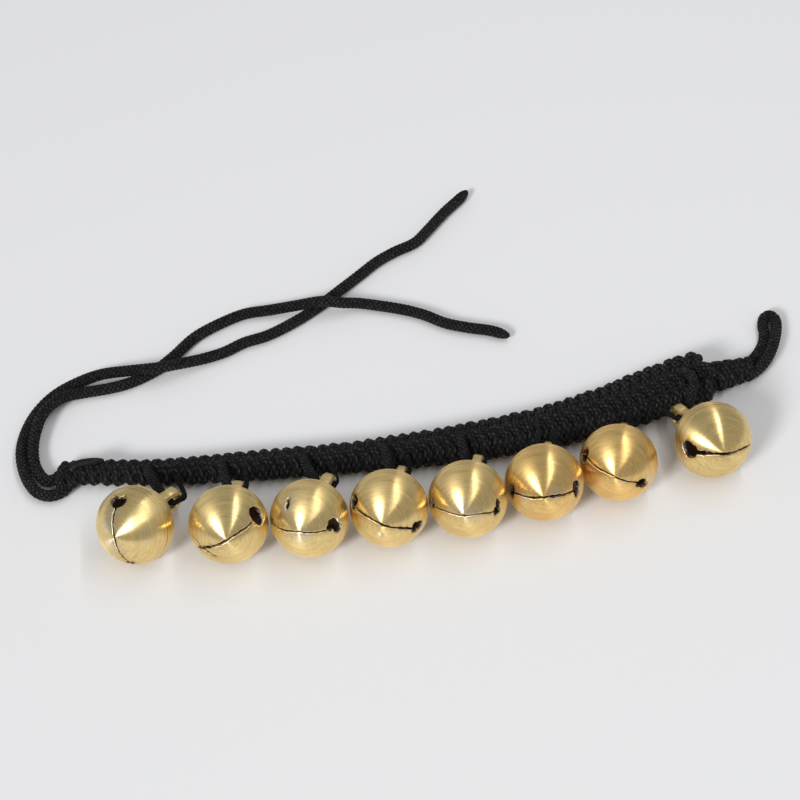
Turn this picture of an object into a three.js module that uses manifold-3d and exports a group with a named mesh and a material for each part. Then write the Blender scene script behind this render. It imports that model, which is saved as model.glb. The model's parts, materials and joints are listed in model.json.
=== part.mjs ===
// Ghungroo ankle bells: eight brass crotal bells hung on a knotted cord band, with two tie ends and a
// fastening loop, laid out on a table. Millimetres, +Z up, the table at z = 0, the band along X.
import * as THREE from 'three';
import { mergeVertices } from 'three/addons/utils/BufferGeometryUtils.js';
import Module from 'manifold-3d';

const wasm = await Module();
wasm.setup();

// Frame: the middle of the band and bells, measured in the layout's own coordinates
const FRAME_MIDDLE = [0.865, 0.875];

// Bell shell: two domes that lean from a half ellipse, power 1, towards a cone
const BELL_RADIUS = 12.05;
const BOWL_DEPTH = 11.4;
const CROWN_HEIGHT = 11.6;
const SHELL_WALL = 2.0;
const DOME_POWER = 1.11;
const SEAM_HEIGHT = 0.6;
const SEAM_GAP = 0.3;
const RIDGE_PROUD = 0.2;
const RIDGE_WIDTH = 0.8;
const RIDGE_FILLET = 0.4;
const SHELL_SEGMENTS = 16;
const OUTER_STEPS = 4;
const CAVITY_STEPS = 3;

// Sound slot across the bowl, with a round hole at each end
const SLOT_WIDTH = 0.9;
const SLOT_END_ANGLE = 58;
const SLOT_ARC_STEPS = 4;
const HOLE_RADIUS = 2.2;
const HOLE_SIDES = 8;
const CUT_MARGIN = 1.5;

// Lug on the crown: an arched strap round an eye for the hanger strand
const HANGER_DIAMETER = 3.2;
const EYE_CLEARANCE = 0.6;
const LUG_STRAP = 1.9;
const LUG_WIDTH = 2.8;
const LUG_GAP = 0.9;
const LUG_SINK = 1.2;
const LUG_ARC_STEPS = 6;

// Loose rattle pellet
const PELLET_RADIUS = 2.9;
const PELLET_CLEARANCE = 0.3;
const PELLET_SIDES = 10;
const PELLET_RINGS = 6;

// Bells from left to right. Heading turns the lug from +Y towards +X, twist turns the shell on from there,
// lift raises the slot above level, and roll turns the slot about the shell's own axis (degrees). Gap is the
// extra space to the bell on the left, and reach the distance from the lug's eye to the band's near edge.
// Lean is the way along the band from the eye to where its strand goes in. Turned bells nest: their rims pass
// each other a little. Every lug droops below level by the same angle.
const ROW_START = -88.6;
const RIM_NEST = 0.6;
const LUG_DROOP = 11;
const BELLS = [
  { heading: 50, twist: -10, lift: 28, roll: 115, gap: 0, reach: 10.9, lean: -6 },
  { heading: 18, twist: -9, lift: 28, roll: 29, gap: 3.45, reach: 8.6, lean: -2.5 },
  { heading: 29, twist: -4, lift: 30, roll: 9, gap: 0.05, reach: 9.3, lean: -4 },
  { heading: 24, twist: -2, lift: 27, roll: -12, gap: 0.1, reach: 7.3, lean: -3 },
  { heading: 22, twist: -3, lift: 27, roll: 4, gap: 0, reach: 6.6, lean: -2 },
  { heading: 17, twist: -2, lift: 28, roll: 7, gap: 0, reach: 4.4, lean: 1.5 },
  { heading: 20, twist: 3, lift: 28, roll: -14, gap: 0, reach: 3.8, lean: 1.5 },
  { heading: -27, twist: 25, lift: 28, roll: -4, gap: 6.7, reach: 5.5, lean: 2.5 },
];

// Knotted sleeve: the middle line of the band in plan, and its size in knots counted from the left end
const BAND_LINE = [
  [-107.3, 18.3], [-102.6, 19.0], [-95, 17.5], [-80, 14.8], [-50, 12.0], [-20, 9.9],
  [10, 8.8], [40, 10.1], [65, 14.1], [90, 20.8], [109, 23.8],
];
const KNOT_COUNT = 60;
const NECK_KNOTS = 4;
const BODY_SIZES = [
  { knot: 0, width: 8.8, height: 7.6 },
  { knot: 7, width: 9.2, height: 7.8 },
  { knot: 15, width: 10.6, height: 8.7 },
  { knot: 24, width: 11.2, height: 9.0 },
  { knot: 33, width: 13.6, height: 10.8 },
  { knot: 42, width: 15.6, height: 11.8 },
  { knot: 50, width: 18.8, height: 13.0 },
  { knot: 56, width: 19.4, height: 13.2 },
];
const NECK_SIZES = [
  { knot: 56, width: 12.2, height: 9.2 },
  { knot: 60, width: 8.8, height: 7.6 },
];
const KNOT_DEPTH = 0.8;
const KNOT_WALL = 1.8;
const KNOT_SIDES = 8;
const BORE_KNOTS = [0, 1, 2, 3, 5, 10, 15, 20, 25, 30, 35, 40, 45, 50];
const REST_FLAT = 0.5;

// Cord: two core strands drawn tight in the sleeve, two free ties and the fastening loop. A route's third
// number lifts the cord off the table, in cord diameters.
const CORD_DIAMETER = 4.2;
const TABLE_GAP = 0.05;
const CORE_DIAMETER = 1.8;
const FIT_GAP = 0.3;
const CORD_SIDES = 8;
const CORE_STEPS = 28;
const TIE_STEPS = 36;
const LOOP_STEPS = 22;
const HANGER_STEPS = 18;
const TUCK_STEPS = 8;
const TIE_A = [
  [-108.0, 15.8, 0.28], [-110.4, 14.1, 0.14], [-113.5, 13.0, 0.02], [-117.0, 14.2], [-119.6, 18.2],
  [-120.9, 24], [-121.1, 31], [-119.6, 39], [-115.8, 47], [-109.4, 53.6],
  [-101.4, 58.3], [-93.9, 60.3, 0.08], [-84.2, 60.8, 0.69], [-75.7, 59.7, 1.12], [-67.7, 58.9, 1.02],
  [-60.8, 59.3, 0.5], [-53.8, 61.0, 0.05], [-46.7, 63.5], [-39.5, 66.2], [-30, 70.8],
  [-21.9, 75.8], [-13.3, 81.6], [-4.5, 88], [1.4, 92], [8, 95.4],
  [15.6, 99], [21.8, 104], [28.2, 110.2], [34.8, 116], [38.3, 119.6],
];
const TIE_B = [
  [-108.7, 20.5, 0.28], [-111.3, 19.3, 0.14], [-113.8, 19.5, 0.02], [-115.7, 21.7], [-116.4, 25.4],
  [-116.4, 31], [-115.0, 37.8], [-111.4, 44.8], [-106.2, 49.2], [-99.5, 51.2],
  [-91.4, 51.9], [-85, 53], [-76.5, 56.2], [-69.8, 61.6], [-61.9, 69],
  [-52.1, 74.6], [-44.9, 76.7, 0.05], [-37, 77.4, 0.45], [-28.6, 77.6, 0.98], [-19.3, 77.2, 1.14],
  [-12.5, 76.3, 0.98], [-6.7, 75, 0.6], [0.5, 72.3, 0.12], [7.6, 68.8], [12.9, 65.3],
  [18.7, 61], [25.8, 58], [32.9, 55], [38.6, 52.2],
];
const LOOP = [
  [109.7, 26.2, 0.28], [112.6, 26.8, 0.12], [115.4, 29.1], [117.5, 33.6], [118.8, 38.4],
  [119.6, 43], [121.0, 46.6], [123.7, 48.0], [126.0, 46.2], [125.7, 42.0],
  [123.9, 37.2], [122.4, 32.3], [120.1, 27.1], [116.4, 23.2, 0.12], [110.2, 21.4, 0.28],
];

// Hanger strands: each leg turns round the edge of the arch, lies over the near side of the sleeve and sinks
// into its top. Angles are round the section of the band, from its near edge.
const HANGER_SPREAD = 3.3;
const HANGER_SINK = 1.0;
const HANGER_PROUD = 0.5;
const HANGER_CREST_ANGLE = 58;
const HANGER_ENTRY_ANGLE = 95;
const HANGER_LEAST_TURN = 0.5;

// Tucked strand over the first knots at the left end
const TUCK_DIAMETER = 2.6;
const TUCK_KNOTS = [0.9, 4.6];
const TUCK_SIDE = 1.6;
const TUCK_SINK = 1.0;

// Tail bundles of the hangers, laid along the core where the band is wide
const TAIL_KNOTS = [29, 54];
const TAIL_STEPS = 8;
const TAIL_SIDES = 8;
const TAIL_FILL = 0.5;

const CAVITY_RADIUS = BELL_RADIUS - SHELL_WALL;
const EYE_RADIUS = HANGER_DIAMETER / 2 + EYE_CLEARANCE;
const LUG_RADIUS = EYE_RADIUS + LUG_STRAP;
const EYE_DISTANCE = CROWN_HEIGHT + LUG_GAP + EYE_RADIUS;
const PELLET_ORBIT = CAVITY_RADIUS * shellInset() - PELLET_RADIUS - PELLET_CLEARANCE;
const CORE_OFFSET = (CORE_DIAMETER + FIT_GAP) / 2;
const CORE_HEIGHT = NECK_SIZES.at(-1).height / 2 - REST_FLAT;
const UP = new THREE.Vector3(0, 0, 1);
const TOLERANCE = 1e-4;

const BRASS = { color: 0xc9a24a, roughness: 0.32, metalness: 1.0 };
const IRON = { color: 0x55524e, roughness: 0.6, metalness: 0.9 };
const BLACK_CORD = { color: 0x17171a, roughness: 0.85, metalness: 0.0 };

const layout = new THREE.Group();
layout.position.set(-FRAME_MIDDLE[0], -FRAME_MIDDLE[1], 0);

function radians(degrees) {
  return THREE.MathUtils.degToRad(degrees);
}

// The share of a sphere's radius that its facets, round and along the profile, leave free inside
function shellInset() {
  return Math.cos(Math.PI / SHELL_SEGMENTS) * Math.cos(Math.PI / (4 * CAVITY_STEPS));
}

function addPiece(name, geometry, look, parent = layout) {
  const mesh = new THREE.Mesh(geometry, new THREE.MeshStandardMaterial(look));
  mesh.name = name;
  parent.add(mesh);
  return mesh;
}

// A closed solid from a geometry, with shared corners merged and collapsed triangles dropped
function solidOf(geometry) {
  const bare = geometry.index ? geometry.toNonIndexed() : geometry.clone();
  bare.deleteAttribute('normal');
  bare.deleteAttribute('uv');
  const merged = mergeVertices(bare, TOLERANCE);
  const index = merged.index.array;
  const kept = [];
  for (let i = 0; i < index.length; i += 3) {
    const [a, b, c] = [index[i], index[i + 1], index[i + 2]];
    if (a !== b && b !== c && c !== a) {
      kept.push(a, b, c);
    }
  }
  const vertProperties = new Float32Array(merged.attributes.position.array);
  return new wasm.Manifold(new wasm.Mesh({ numProp: 3, vertProperties, triVerts: new Uint32Array(kept) }));
}

function geometryOf(solid) {
  const mesh = solid.getMesh();
  const geometry = new THREE.BufferGeometry();
  geometry.setAttribute('position', new THREE.BufferAttribute(new Float32Array(mesh.vertProperties), 3));
  geometry.setIndex(new THREE.BufferAttribute(new Uint32Array(mesh.triVerts), 1));
  geometry.computeVertexNormals();
  return geometry;
}

// A round tube along a curve
function tube(curve, diameter, steps, sides = CORD_SIDES) {
  const section = new THREE.Shape();
  for (let k = 0; k < sides; k += 1) {
    const angle = (2 * Math.PI * (k + 0.5)) / sides;
    const point = [(diameter / 2) * Math.cos(angle), (diameter / 2) * Math.sin(angle)];
    if (k === 0) {
      section.moveTo(...point);
    } else {
      section.lineTo(...point);
    }
  }
  section.closePath();
  return new THREE.ExtrudeGeometry(section, { steps, extrudePath: curve, curveSegments: sides });
}

function curveThrough(points) {
  return new THREE.CatmullRomCurve3(points, false, 'centripetal');
}

function cordCurve(route) {
  return curveThrough(route.map(([x, y, lift = 0]) => {
    const height = CORD_DIAMETER * (0.5 + lift) + TABLE_GAP;
    return new THREE.Vector3(x, y, height);
  }));
}

// Arc points of a dome with the given half width and height, from the rim to the axis
function domeArc(halfWidth, height, base, steps, power = 1) {
  const points = [];
  for (let k = 0; k <= steps; k += 1) {
    const angle = (k / steps) * (Math.PI / 2);
    const width = k === steps ? 0 : halfWidth * Math.cos(angle) ** power;
    points.push(new THREE.Vector2(width, base + height * Math.sin(angle) ** power));
  }
  return points;
}

// One half of the shell: a lathe profile closed on itself, turned about Z
function latheShell(outer, inner) {
  const profile = [...outer, ...inner.reverse(), outer[0].clone()];
  const geometry = new THREE.LatheGeometry(profile, SHELL_SEGMENTS);
  geometry.rotateX(Math.PI / 2);
  return geometry;
}

function bowlShell() {
  const rim = SEAM_HEIGHT - SEAM_GAP / 2;
  const ridge = BELL_RADIUS + RIDGE_PROUD;
  const fillet = rim - RIDGE_WIDTH - RIDGE_FILLET;
  const outer = [
    new THREE.Vector2(ridge, rim),
    new THREE.Vector2(ridge, rim - RIDGE_WIDTH),
    ...domeArc(BELL_RADIUS, -(BOWL_DEPTH + fillet), fillet, OUTER_STEPS, DOME_POWER),
  ];
  const inner = [
    new THREE.Vector2(CAVITY_RADIUS, rim),
    ...domeArc(CAVITY_RADIUS, -CAVITY_RADIUS, 0, CAVITY_STEPS),
  ];
  return latheShell(outer.reverse(), inner.reverse());
}

function crownShell() {
  const rim = SEAM_HEIGHT + SEAM_GAP / 2;
  const outer = domeArc(BELL_RADIUS, CROWN_HEIGHT - rim, rim, OUTER_STEPS, DOME_POWER);
  const inner = domeArc(CAVITY_RADIUS, CAVITY_RADIUS - rim, rim, CAVITY_STEPS);
  return latheShell(outer, inner);
}

// A thin fan that saws the slot from hole to hole through the bowl's pole
function slotCutter() {
  const reach = BELL_RADIUS + CUT_MARGIN;
  const end = radians(SLOT_END_ANGLE);
  const fan = new THREE.Shape();
  fan.moveTo(0, 0);
  for (let k = 0; k <= SLOT_ARC_STEPS; k += 1) {
    const angle = -end + (2 * end * k) / SLOT_ARC_STEPS;
    fan.lineTo(reach * Math.sin(angle), -reach * Math.cos(angle));
  }
  fan.closePath();
  const geometry = new THREE.ExtrudeGeometry(fan, { depth: SLOT_WIDTH, bevelEnabled: false });
  geometry.translate(0, 0, -SLOT_WIDTH / 2);
  geometry.rotateX(Math.PI / 2);
  return geometry;
}

function holeCutter(angle) {
  const length = BELL_RADIUS + CUT_MARGIN;
  const geometry = new THREE.CylinderGeometry(HOLE_RADIUS, HOLE_RADIUS, length, HOLE_SIDES);
  geometry.rotateX(Math.PI / 2);
  geometry.translate(0, 0, -length / 2);
  geometry.rotateY(-radians(angle));
  return geometry;
}

function bowl(roll) {
  const cutters = [slotCutter(), holeCutter(SLOT_END_ANGLE), holeCutter(-SLOT_END_ANGLE)];
  const cut = cutters.reduce((solid, cutter) => solid.subtract(solidOf(cutter)), solidOf(bowlShell()));
  const geometry = geometryOf(cut);
  geometry.rotateZ(radians(-roll));
  return geometry;
}

// The lug's arch stands along +Z; the crown turns it to the lug's line
function lugArch() {
  const foot = CROWN_HEIGHT - LUG_SINK - EYE_DISTANCE;
  const arch = new THREE.Shape();
  arch.moveTo(-LUG_RADIUS, foot);
  for (let k = 0; k <= LUG_ARC_STEPS; k += 1) {
    const angle = Math.PI - (Math.PI * k) / LUG_ARC_STEPS;
    arch.lineTo(LUG_RADIUS * Math.cos(angle), LUG_RADIUS * Math.sin(angle));
  }
  arch.lineTo(LUG_RADIUS, foot);
  arch.closePath();
  const eye = new THREE.Path();
  const sides = 2 * LUG_ARC_STEPS;
  for (let k = 0; k < sides; k += 1) {
    const angle = (2 * Math.PI * (k + 0.5)) / sides;
    const radius = EYE_RADIUS / Math.cos(Math.PI / sides);
    const point = [radius * Math.cos(angle), radius * Math.sin(angle)];
    if (k === 0) {
      eye.moveTo(...point);
    } else {
      eye.lineTo(...point);
    }
  }
  eye.closePath();
  arch.holes.push(eye);
  const geometry = new THREE.ExtrudeGeometry(arch, { depth: LUG_WIDTH, bevelEnabled: false });
  geometry.translate(0, EYE_DISTANCE, -LUG_WIDTH / 2);
  geometry.rotateX(Math.PI / 2);
  geometry.rotateZ(Math.PI / 2);
  return geometry;
}

function crown(lugTurn) {
  const lug = lugArch().applyMatrix4(lugTurn);
  return geometryOf(solidOf(crownShell()).add(solidOf(lug)));
}

// Band: its middle line, and its size at a place counted in knots
const bandCurve = curveThrough(BAND_LINE.map(([x, y]) => new THREE.Vector3(x, y, 0)));

function bandFrame(knot) {
  const share = THREE.MathUtils.clamp(knot / KNOT_COUNT, 0, 1);
  const along = bandCurve.getTangentAt(share);
  return { middle: bandCurve.getPointAt(share), along, far: new THREE.Vector3().crossVectors(UP, along) };
}

function sizeFrom(sizes, knot) {
  const next = sizes.findIndex((row) => row.knot >= knot);
  if (next <= 0) {
    return sizes[next === 0 ? 0 : sizes.length - 1];
  }
  const [low, high] = [sizes[next - 1], sizes[next]];
  const share = (knot - low.knot) / (high.knot - low.knot);
  return {
    width: THREE.MathUtils.lerp(low.width, high.width, share),
    height: THREE.MathUtils.lerp(low.height, high.height, share),
  };
}

function bandSize(knot) {
  return sizeFrom(knot < KNOT_COUNT - NECK_KNOTS ? BODY_SIZES : NECK_SIZES, knot);
}

// The place on the band, in knots, that lies at a given x
function knotAt(x) {
  let [low, high] = [0, KNOT_COUNT];
  while (high - low > TOLERANCE) {
    const middle = (low + high) / 2;
    if (bandFrame(middle).middle.x < x) {
      low = middle;
    } else {
      high = middle;
    }
  }
  return low;
}

// A point of the band: across is towards the far edge, height is above the table
function bandPoint(knot, across, height) {
  const frame = bandFrame(knot);
  return frame.middle.clone().addScaledVector(frame.far, across).addScaledVector(UP, height);
}

function ringPoints(knot, inset, sides) {
  const size = bandSize(knot);
  const points = [];
  for (let k = 0; k < sides; k += 1) {
    const angle = (2 * Math.PI * k) / sides - Math.PI / 2;
    const across = (size.width / 2 - inset) * Math.cos(angle);
    const height = size.height / 2 - REST_FLAT + (size.height / 2 - inset) * Math.sin(angle);
    points.push(bandPoint(knot, across, height));
  }
  return points;
}

// Rings joined into a closed body; with a bore, the last ring meets the first round the inside
function loft(rings, closed) {
  const sides = rings[0].length;
  const positions = rings.flat().flatMap((point) => [point.x, point.y, point.z]);
  const index = [];
  const joins = closed ? rings.length : rings.length - 1;
  for (let r = 0; r < joins; r += 1) {
    const [here, next] = [r * sides, ((r + 1) % rings.length) * sides];
    for (let k = 0; k < sides; k += 1) {
      const turn = (k + 1) % sides;
      index.push(here + k, here + turn, next + turn, here + k, next + turn, next + k);
    }
  }
  if (!closed) {
    const last = (rings.length - 1) * sides;
    for (let k = 1; k < sides - 1; k += 1) {
      index.push(0, k + 1, k, last, last + k, last + k + 1);
    }
  }
  const geometry = new THREE.BufferGeometry();
  geometry.setAttribute('position', new THREE.Float32BufferAttribute(positions, 3));
  geometry.setIndex(index);
  return geometry;
}

// Two rings a knot outside, a ring every few knots in the bore, which narrows with the neck
function sleeveBody() {
  const outside = [ringPoints(0, KNOT_DEPTH, KNOT_SIDES)];
  for (let knot = 0; knot < KNOT_COUNT; knot += 1) {
    outside.push(ringPoints(knot + 0.5, 0, KNOT_SIDES));
    outside.push(ringPoints(knot + 1, KNOT_DEPTH, KNOT_SIDES));
  }
  const bodyEnd = KNOT_COUNT - NECK_KNOTS;
  const places = [...BORE_KNOTS, bodyEnd - 1, bodyEnd, KNOT_COUNT];
  const bore = places.map((knot) => ringPoints(knot, KNOT_WALL, KNOT_SIDES));
  return loft([...outside, ...bore.reverse()], true);
}

function tableCutter() {
  const length = 2 * bandCurve.getLength();
  const geometry = new THREE.BoxGeometry(length, length, CUT_MARGIN);
  geometry.translate(0, 0, -CUT_MARGIN / 2);
  return geometry;
}

function coreStrand(side) {
  const points = [];
  for (let k = 0; k <= CORE_STEPS; k += 1) {
    points.push(bandPoint((KNOT_COUNT * k) / CORE_STEPS, side * CORE_OFFSET, CORE_HEIGHT));
  }
  return tube(new THREE.CatmullRomCurve3(points), CORE_DIAMETER, CORE_STEPS);
}

// A tapered bundle between the core and the wall of the bore
function tailBundle(side) {
  const inner = CORE_OFFSET + CORE_DIAMETER / 2 + FIT_GAP;
  const rings = [];
  for (let k = 0; k <= TAIL_STEPS; k += 1) {
    const knot = THREE.MathUtils.lerp(...TAIL_KNOTS, k / TAIL_STEPS);
    const size = bandSize(knot);
    const outer = (size.width / 2 - KNOT_WALL) * Math.cos(Math.PI / KNOT_SIDES) - FIT_GAP;
    const halfWidth = (outer - inner) / 2;
    const halfHeight = (size.height / 2 - KNOT_WALL) * TAIL_FILL;
    const ring = [];
    for (let s = 0; s < TAIL_SIDES; s += 1) {
      const angle = (2 * Math.PI * s) / TAIL_SIDES;
      const across = side * (inner + halfWidth) + halfWidth * Math.cos(angle);
      ring.push(bandPoint(knot, across, size.height / 2 - REST_FLAT + halfHeight * Math.sin(angle)));
    }
    rings.push(ring);
  }
  return loft(rings, false);
}

// A point over the section of the band, at an angle from its near edge and so far outside its surface
function overBand(knot, angle, outside) {
  const size = bandSize(knot);
  const across = -(size.width / 2 + outside) * Math.cos(radians(angle));
  const above = (size.height / 2 + outside) * Math.sin(radians(angle));
  return bandPoint(knot, across, size.height / 2 - REST_FLAT + above);
}

// The U of cord through a lug's eye: straight in the eye, then round the edge of the arch on each side until
// it points to where it lies over the near side of the sleeve and sinks into its top. A leg whose crest is
// not clear of the arch also goes round behind it.
function hangerCurve(eye, eyeAxis, eyeLine, lean) {
  const inside = LUG_WIDTH / 2 + FIT_GAP;
  const stand = inside + EYE_RADIUS;
  const leg = (side) => {
    const knot = knotAt(eye.x + side * HANGER_SPREAD + lean);
    const foot = overBand(knot, HANGER_ENTRY_ANGLE, -HANGER_SINK);
    const crest = overBand(knot, HANGER_CREST_ANGLE, HANGER_PROUD);
    const aim = crest.clone().sub(eye);
    const aside = side * aim.dot(eyeAxis);
    const out = aim.dot(eyeLine);
    const clear = aside > stand;
    const place = (x, y) => eye.clone().addScaledVector(eyeAxis, side * x).addScaledVector(eyeLine, y);
    const leave = clear ? Math.atan2(out, aside - inside) : Math.PI / 2;
    const bends = [0, leave / 2, leave].map((angle) => {
      return place(inside + EYE_RADIUS * Math.sin(angle), EYE_RADIUS * (1 - Math.cos(angle)));
    });
    if (!clear) {
      const turn = Math.atan2(stand - aside, out - LUG_RADIUS);
      const angles = turn > HANGER_LEAST_TURN ? [0, turn / 2, turn] : [0];
      angles.forEach((angle) => {
        bends.push(place(inside + EYE_RADIUS * Math.cos(angle), LUG_RADIUS + EYE_RADIUS * Math.sin(angle)));
      });
    }
    return [foot, crest, ...bends.reverse()];
  };
  return curveThrough([...leg(-1), eye.clone(), ...leg(1).reverse()]);
}

// The smooth strand tucked over the first knots, both ends sunk between them
function tuckCurve(sink) {
  const top = (knot) => bandSize(knot).height - REST_FLAT;
  const [first, last] = TUCK_KNOTS;
  const middle = (first + last) / 2;
  return new THREE.CatmullRomCurve3([
    bandPoint(first, -TUCK_SIDE / 2, top(first) - sink),
    bandPoint((first + middle) / 2, 0, top(middle) + FIT_GAP),
    bandPoint((last + middle) / 2, TUCK_SIDE / 2, top(middle) + FIT_GAP),
    bandPoint(last, TUCK_SIDE, top(last) - sink),
  ]);
}

// A direction at a heading from +Y towards +X, sloping down
function slopedLine(heading, slope) {
  const level = new THREE.Vector3(Math.sin(heading), Math.cos(heading), 0);
  return level.multiplyScalar(Math.cos(slope)).addScaledVector(UP, -Math.sin(slope));
}

function basisOf(xAxis, zAxis) {
  const yAxis = new THREE.Vector3().crossVectors(zAxis, xAxis);
  return new THREE.Matrix4().makeBasis(xAxis, yAxis, zAxis);
}

// Bells, set down on the table in a row and each turned to its own heading
const pockets = [];
let bellX = ROW_START;
BELLS.forEach((bell, k) => {
  const name = `bell_${k + 1}`;
  if (k > 0) {
    bellX += 2 * (BELL_RADIUS + RIDGE_PROUD) - RIM_NEST + bell.gap;
  }
  const heading = radians(bell.heading);
  const droop = radians(LUG_DROOP);
  const eyeAxis = new THREE.Vector3(Math.cos(heading), -Math.sin(heading), 0);
  const eyeLine = slopedLine(heading, droop);
  const facing = radians(bell.heading + bell.twist);
  const facingAxis = new THREE.Vector3(Math.cos(facing), -Math.sin(facing), 0);
  const turn = basisOf(facingAxis, slopedLine(facing, radians(bell.lift)));

  const bowlPiece = bowl(bell.roll);
  const crownPiece = crown(turn.clone().invert().multiply(basisOf(eyeAxis, eyeLine)));
  const lowest = [bowlPiece, crownPiece].map((piece) => {
    const turned = piece.clone().applyMatrix4(turn);
    turned.computeBoundingBox();
    return turned.boundingBox.min.z;
  });
  const height = -Math.min(...lowest);

  const eyeX = bellX + EYE_DISTANCE * eyeLine.x;
  const eyeKnot = knotAt(eyeX);
  const nearEdge = bandPoint(eyeKnot, -bandSize(eyeKnot).width / 2, 0).y;
  const eye = new THREE.Vector3(eyeX, nearEdge - bell.reach, height + EYE_DISTANCE * eyeLine.z);
  const centre = eye.clone().addScaledVector(eyeLine, -EYE_DISTANCE);

  const bellGroup = new THREE.Group();
  bellGroup.quaternion.setFromRotationMatrix(turn);
  bellGroup.position.copy(centre);
  layout.add(bellGroup);
  addPiece(`${name}_crown`, crownPiece, BRASS, bellGroup);
  addPiece(`${name}_bowl`, bowlPiece, BRASS, bellGroup);

  const ball = new THREE.SphereGeometry(PELLET_RADIUS, PELLET_SIDES, PELLET_RINGS);
  const pellet = addPiece(`${name}_pellet`, ball, IRON);
  pellet.position.copy(centre).addScaledVector(UP, -PELLET_ORBIT);

  const strand = hangerCurve(eye, eyeAxis, eyeLine, bell.lean);
  addPiece(`${name}_hanger`, tube(strand, HANGER_DIAMETER, HANGER_STEPS), BLACK_CORD);
  pockets.push(tube(strand, HANGER_DIAMETER + 2 * FIT_GAP, HANGER_STEPS));
  [0, 1].forEach((end) => {
    const toe = new THREE.OctahedronGeometry(HANGER_DIAMETER / 2 + 3 * FIT_GAP, 1);
    toe.translate(...strand.getPoint(end).toArray());
    pockets.push(toe);
  });
});

// Band pieces
pockets.push(tube(tuckCurve(TUCK_SINK + FIT_GAP), TUCK_DIAMETER + 2 * FIT_GAP, TUCK_STEPS));
pockets.push(tableCutter());
const sleeve = pockets.reduce((solid, pocket) => solid.subtract(solidOf(pocket)), solidOf(sleeveBody()));
addPiece('knotted_sleeve', geometryOf(sleeve), BLACK_CORD);
addPiece('core_strand_near', coreStrand(-1), BLACK_CORD);
addPiece('core_strand_far', coreStrand(1), BLACK_CORD);
addPiece('hanger_tails_near', tailBundle(-1), BLACK_CORD);
addPiece('hanger_tails_far', tailBundle(1), BLACK_CORD);
addPiece('end_tuck', tube(tuckCurve(TUCK_SINK), TUCK_DIAMETER, TUCK_STEPS), BLACK_CORD);
addPiece('fastening_loop', tube(cordCurve(LOOP), CORD_DIAMETER, LOOP_STEPS), BLACK_CORD);
addPiece('tie_cord_a', tube(cordCurve(TIE_A), CORD_DIAMETER, TIE_STEPS), BLACK_CORD);
addPiece('tie_cord_b', tube(cordCurve(TIE_B), CORD_DIAMETER, TIE_STEPS), BLACK_CORD);

const ankleBells = new THREE.Group();
ankleBells.add(layout);
export default ankleBells;
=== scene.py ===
# %% [markdown]
# Ghungroo ankle bells: eight brass crotal bells hang from a knotted black cord band, which a dancer ties round
# the ankle with two free ends and a loop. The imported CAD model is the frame. It says where every bell, eye and
# strand is, and this lesson gives each of them the surface that the real one has.

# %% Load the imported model
import json

import bmesh
import bpy
import numpy as np
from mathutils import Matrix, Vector


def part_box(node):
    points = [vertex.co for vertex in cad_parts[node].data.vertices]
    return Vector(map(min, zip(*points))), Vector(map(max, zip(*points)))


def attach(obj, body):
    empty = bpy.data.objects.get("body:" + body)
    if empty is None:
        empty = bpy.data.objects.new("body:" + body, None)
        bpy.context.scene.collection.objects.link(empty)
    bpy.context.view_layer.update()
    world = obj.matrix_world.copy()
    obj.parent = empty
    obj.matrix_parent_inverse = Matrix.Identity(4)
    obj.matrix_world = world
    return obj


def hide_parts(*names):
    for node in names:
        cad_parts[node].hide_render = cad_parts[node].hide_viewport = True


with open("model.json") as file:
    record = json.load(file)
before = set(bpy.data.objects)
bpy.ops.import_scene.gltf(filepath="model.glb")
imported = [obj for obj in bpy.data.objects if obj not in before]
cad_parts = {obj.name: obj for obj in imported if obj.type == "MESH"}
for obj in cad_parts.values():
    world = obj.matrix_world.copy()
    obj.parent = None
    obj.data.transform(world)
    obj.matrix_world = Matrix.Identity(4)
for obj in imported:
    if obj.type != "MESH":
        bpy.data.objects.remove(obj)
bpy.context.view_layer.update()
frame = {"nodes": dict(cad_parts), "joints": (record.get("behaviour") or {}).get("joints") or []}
MM = 0.001
UP = np.array([0.0, 0.0, 1.0])
joints = {joint["name"]: joint for joint in frame["joints"]}
BELL_COUNT = sum(name.endswith("_swing") for name in joints)
BELLS = range(1, BELL_COUNT + 1)
print("bells in the frame:", BELL_COUNT, "nodes:", len(frame["nodes"]))

# %% [markdown]
# The camera looks down on the bells from high up, a little to the left, and from far enough away for a long lens.
# Its distance and lens were worked out from the bells, which are all nearly the same size in the picture.

# %% Camera
CAMERA_AZIMUTH = np.radians(-10)
CAMERA_ELEVATION = np.radians(50)
CAMERA_DISTANCE = 700 * MM
CAMERA_TARGET = np.array([-1.865, 32.525, 0.0]) * MM
CAMERA_LENS = 99

camera_data = bpy.data.cameras.new("camera")
camera_data.lens = CAMERA_LENS
camera = bpy.data.objects.new("camera", camera_data)
bpy.context.scene.collection.objects.link(camera)
towards_camera = np.array([
    np.sin(CAMERA_AZIMUTH) * np.cos(CAMERA_ELEVATION),
    -np.cos(CAMERA_AZIMUTH) * np.cos(CAMERA_ELEVATION),
    np.sin(CAMERA_ELEVATION),
])
camera.location = Vector(CAMERA_TARGET + CAMERA_DISTANCE * towards_camera)
camera.rotation_euler = Vector(-towards_camera).to_track_quat("-Z", "Y").to_euler()
bpy.context.scene.camera = camera
bpy.context.scene.view_settings.view_transform = "Standard"
print("camera at", [round(v, 3) for v in camera.location])

# %% [markdown]
# Every piece below is a grid of points worked out with numpy. A grid becomes a mesh by joining each point to
# its neighbours in the next row and column. The corner numbers of each small square also serve as its UV map,
# so a pattern can follow the surface without a seam.

# %% From a grid of points to a mesh
SQUARE = np.array([(0, 0), (0, 1), (1, 1), (1, 0)])
WELD_DISTANCE = 1e-7


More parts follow.
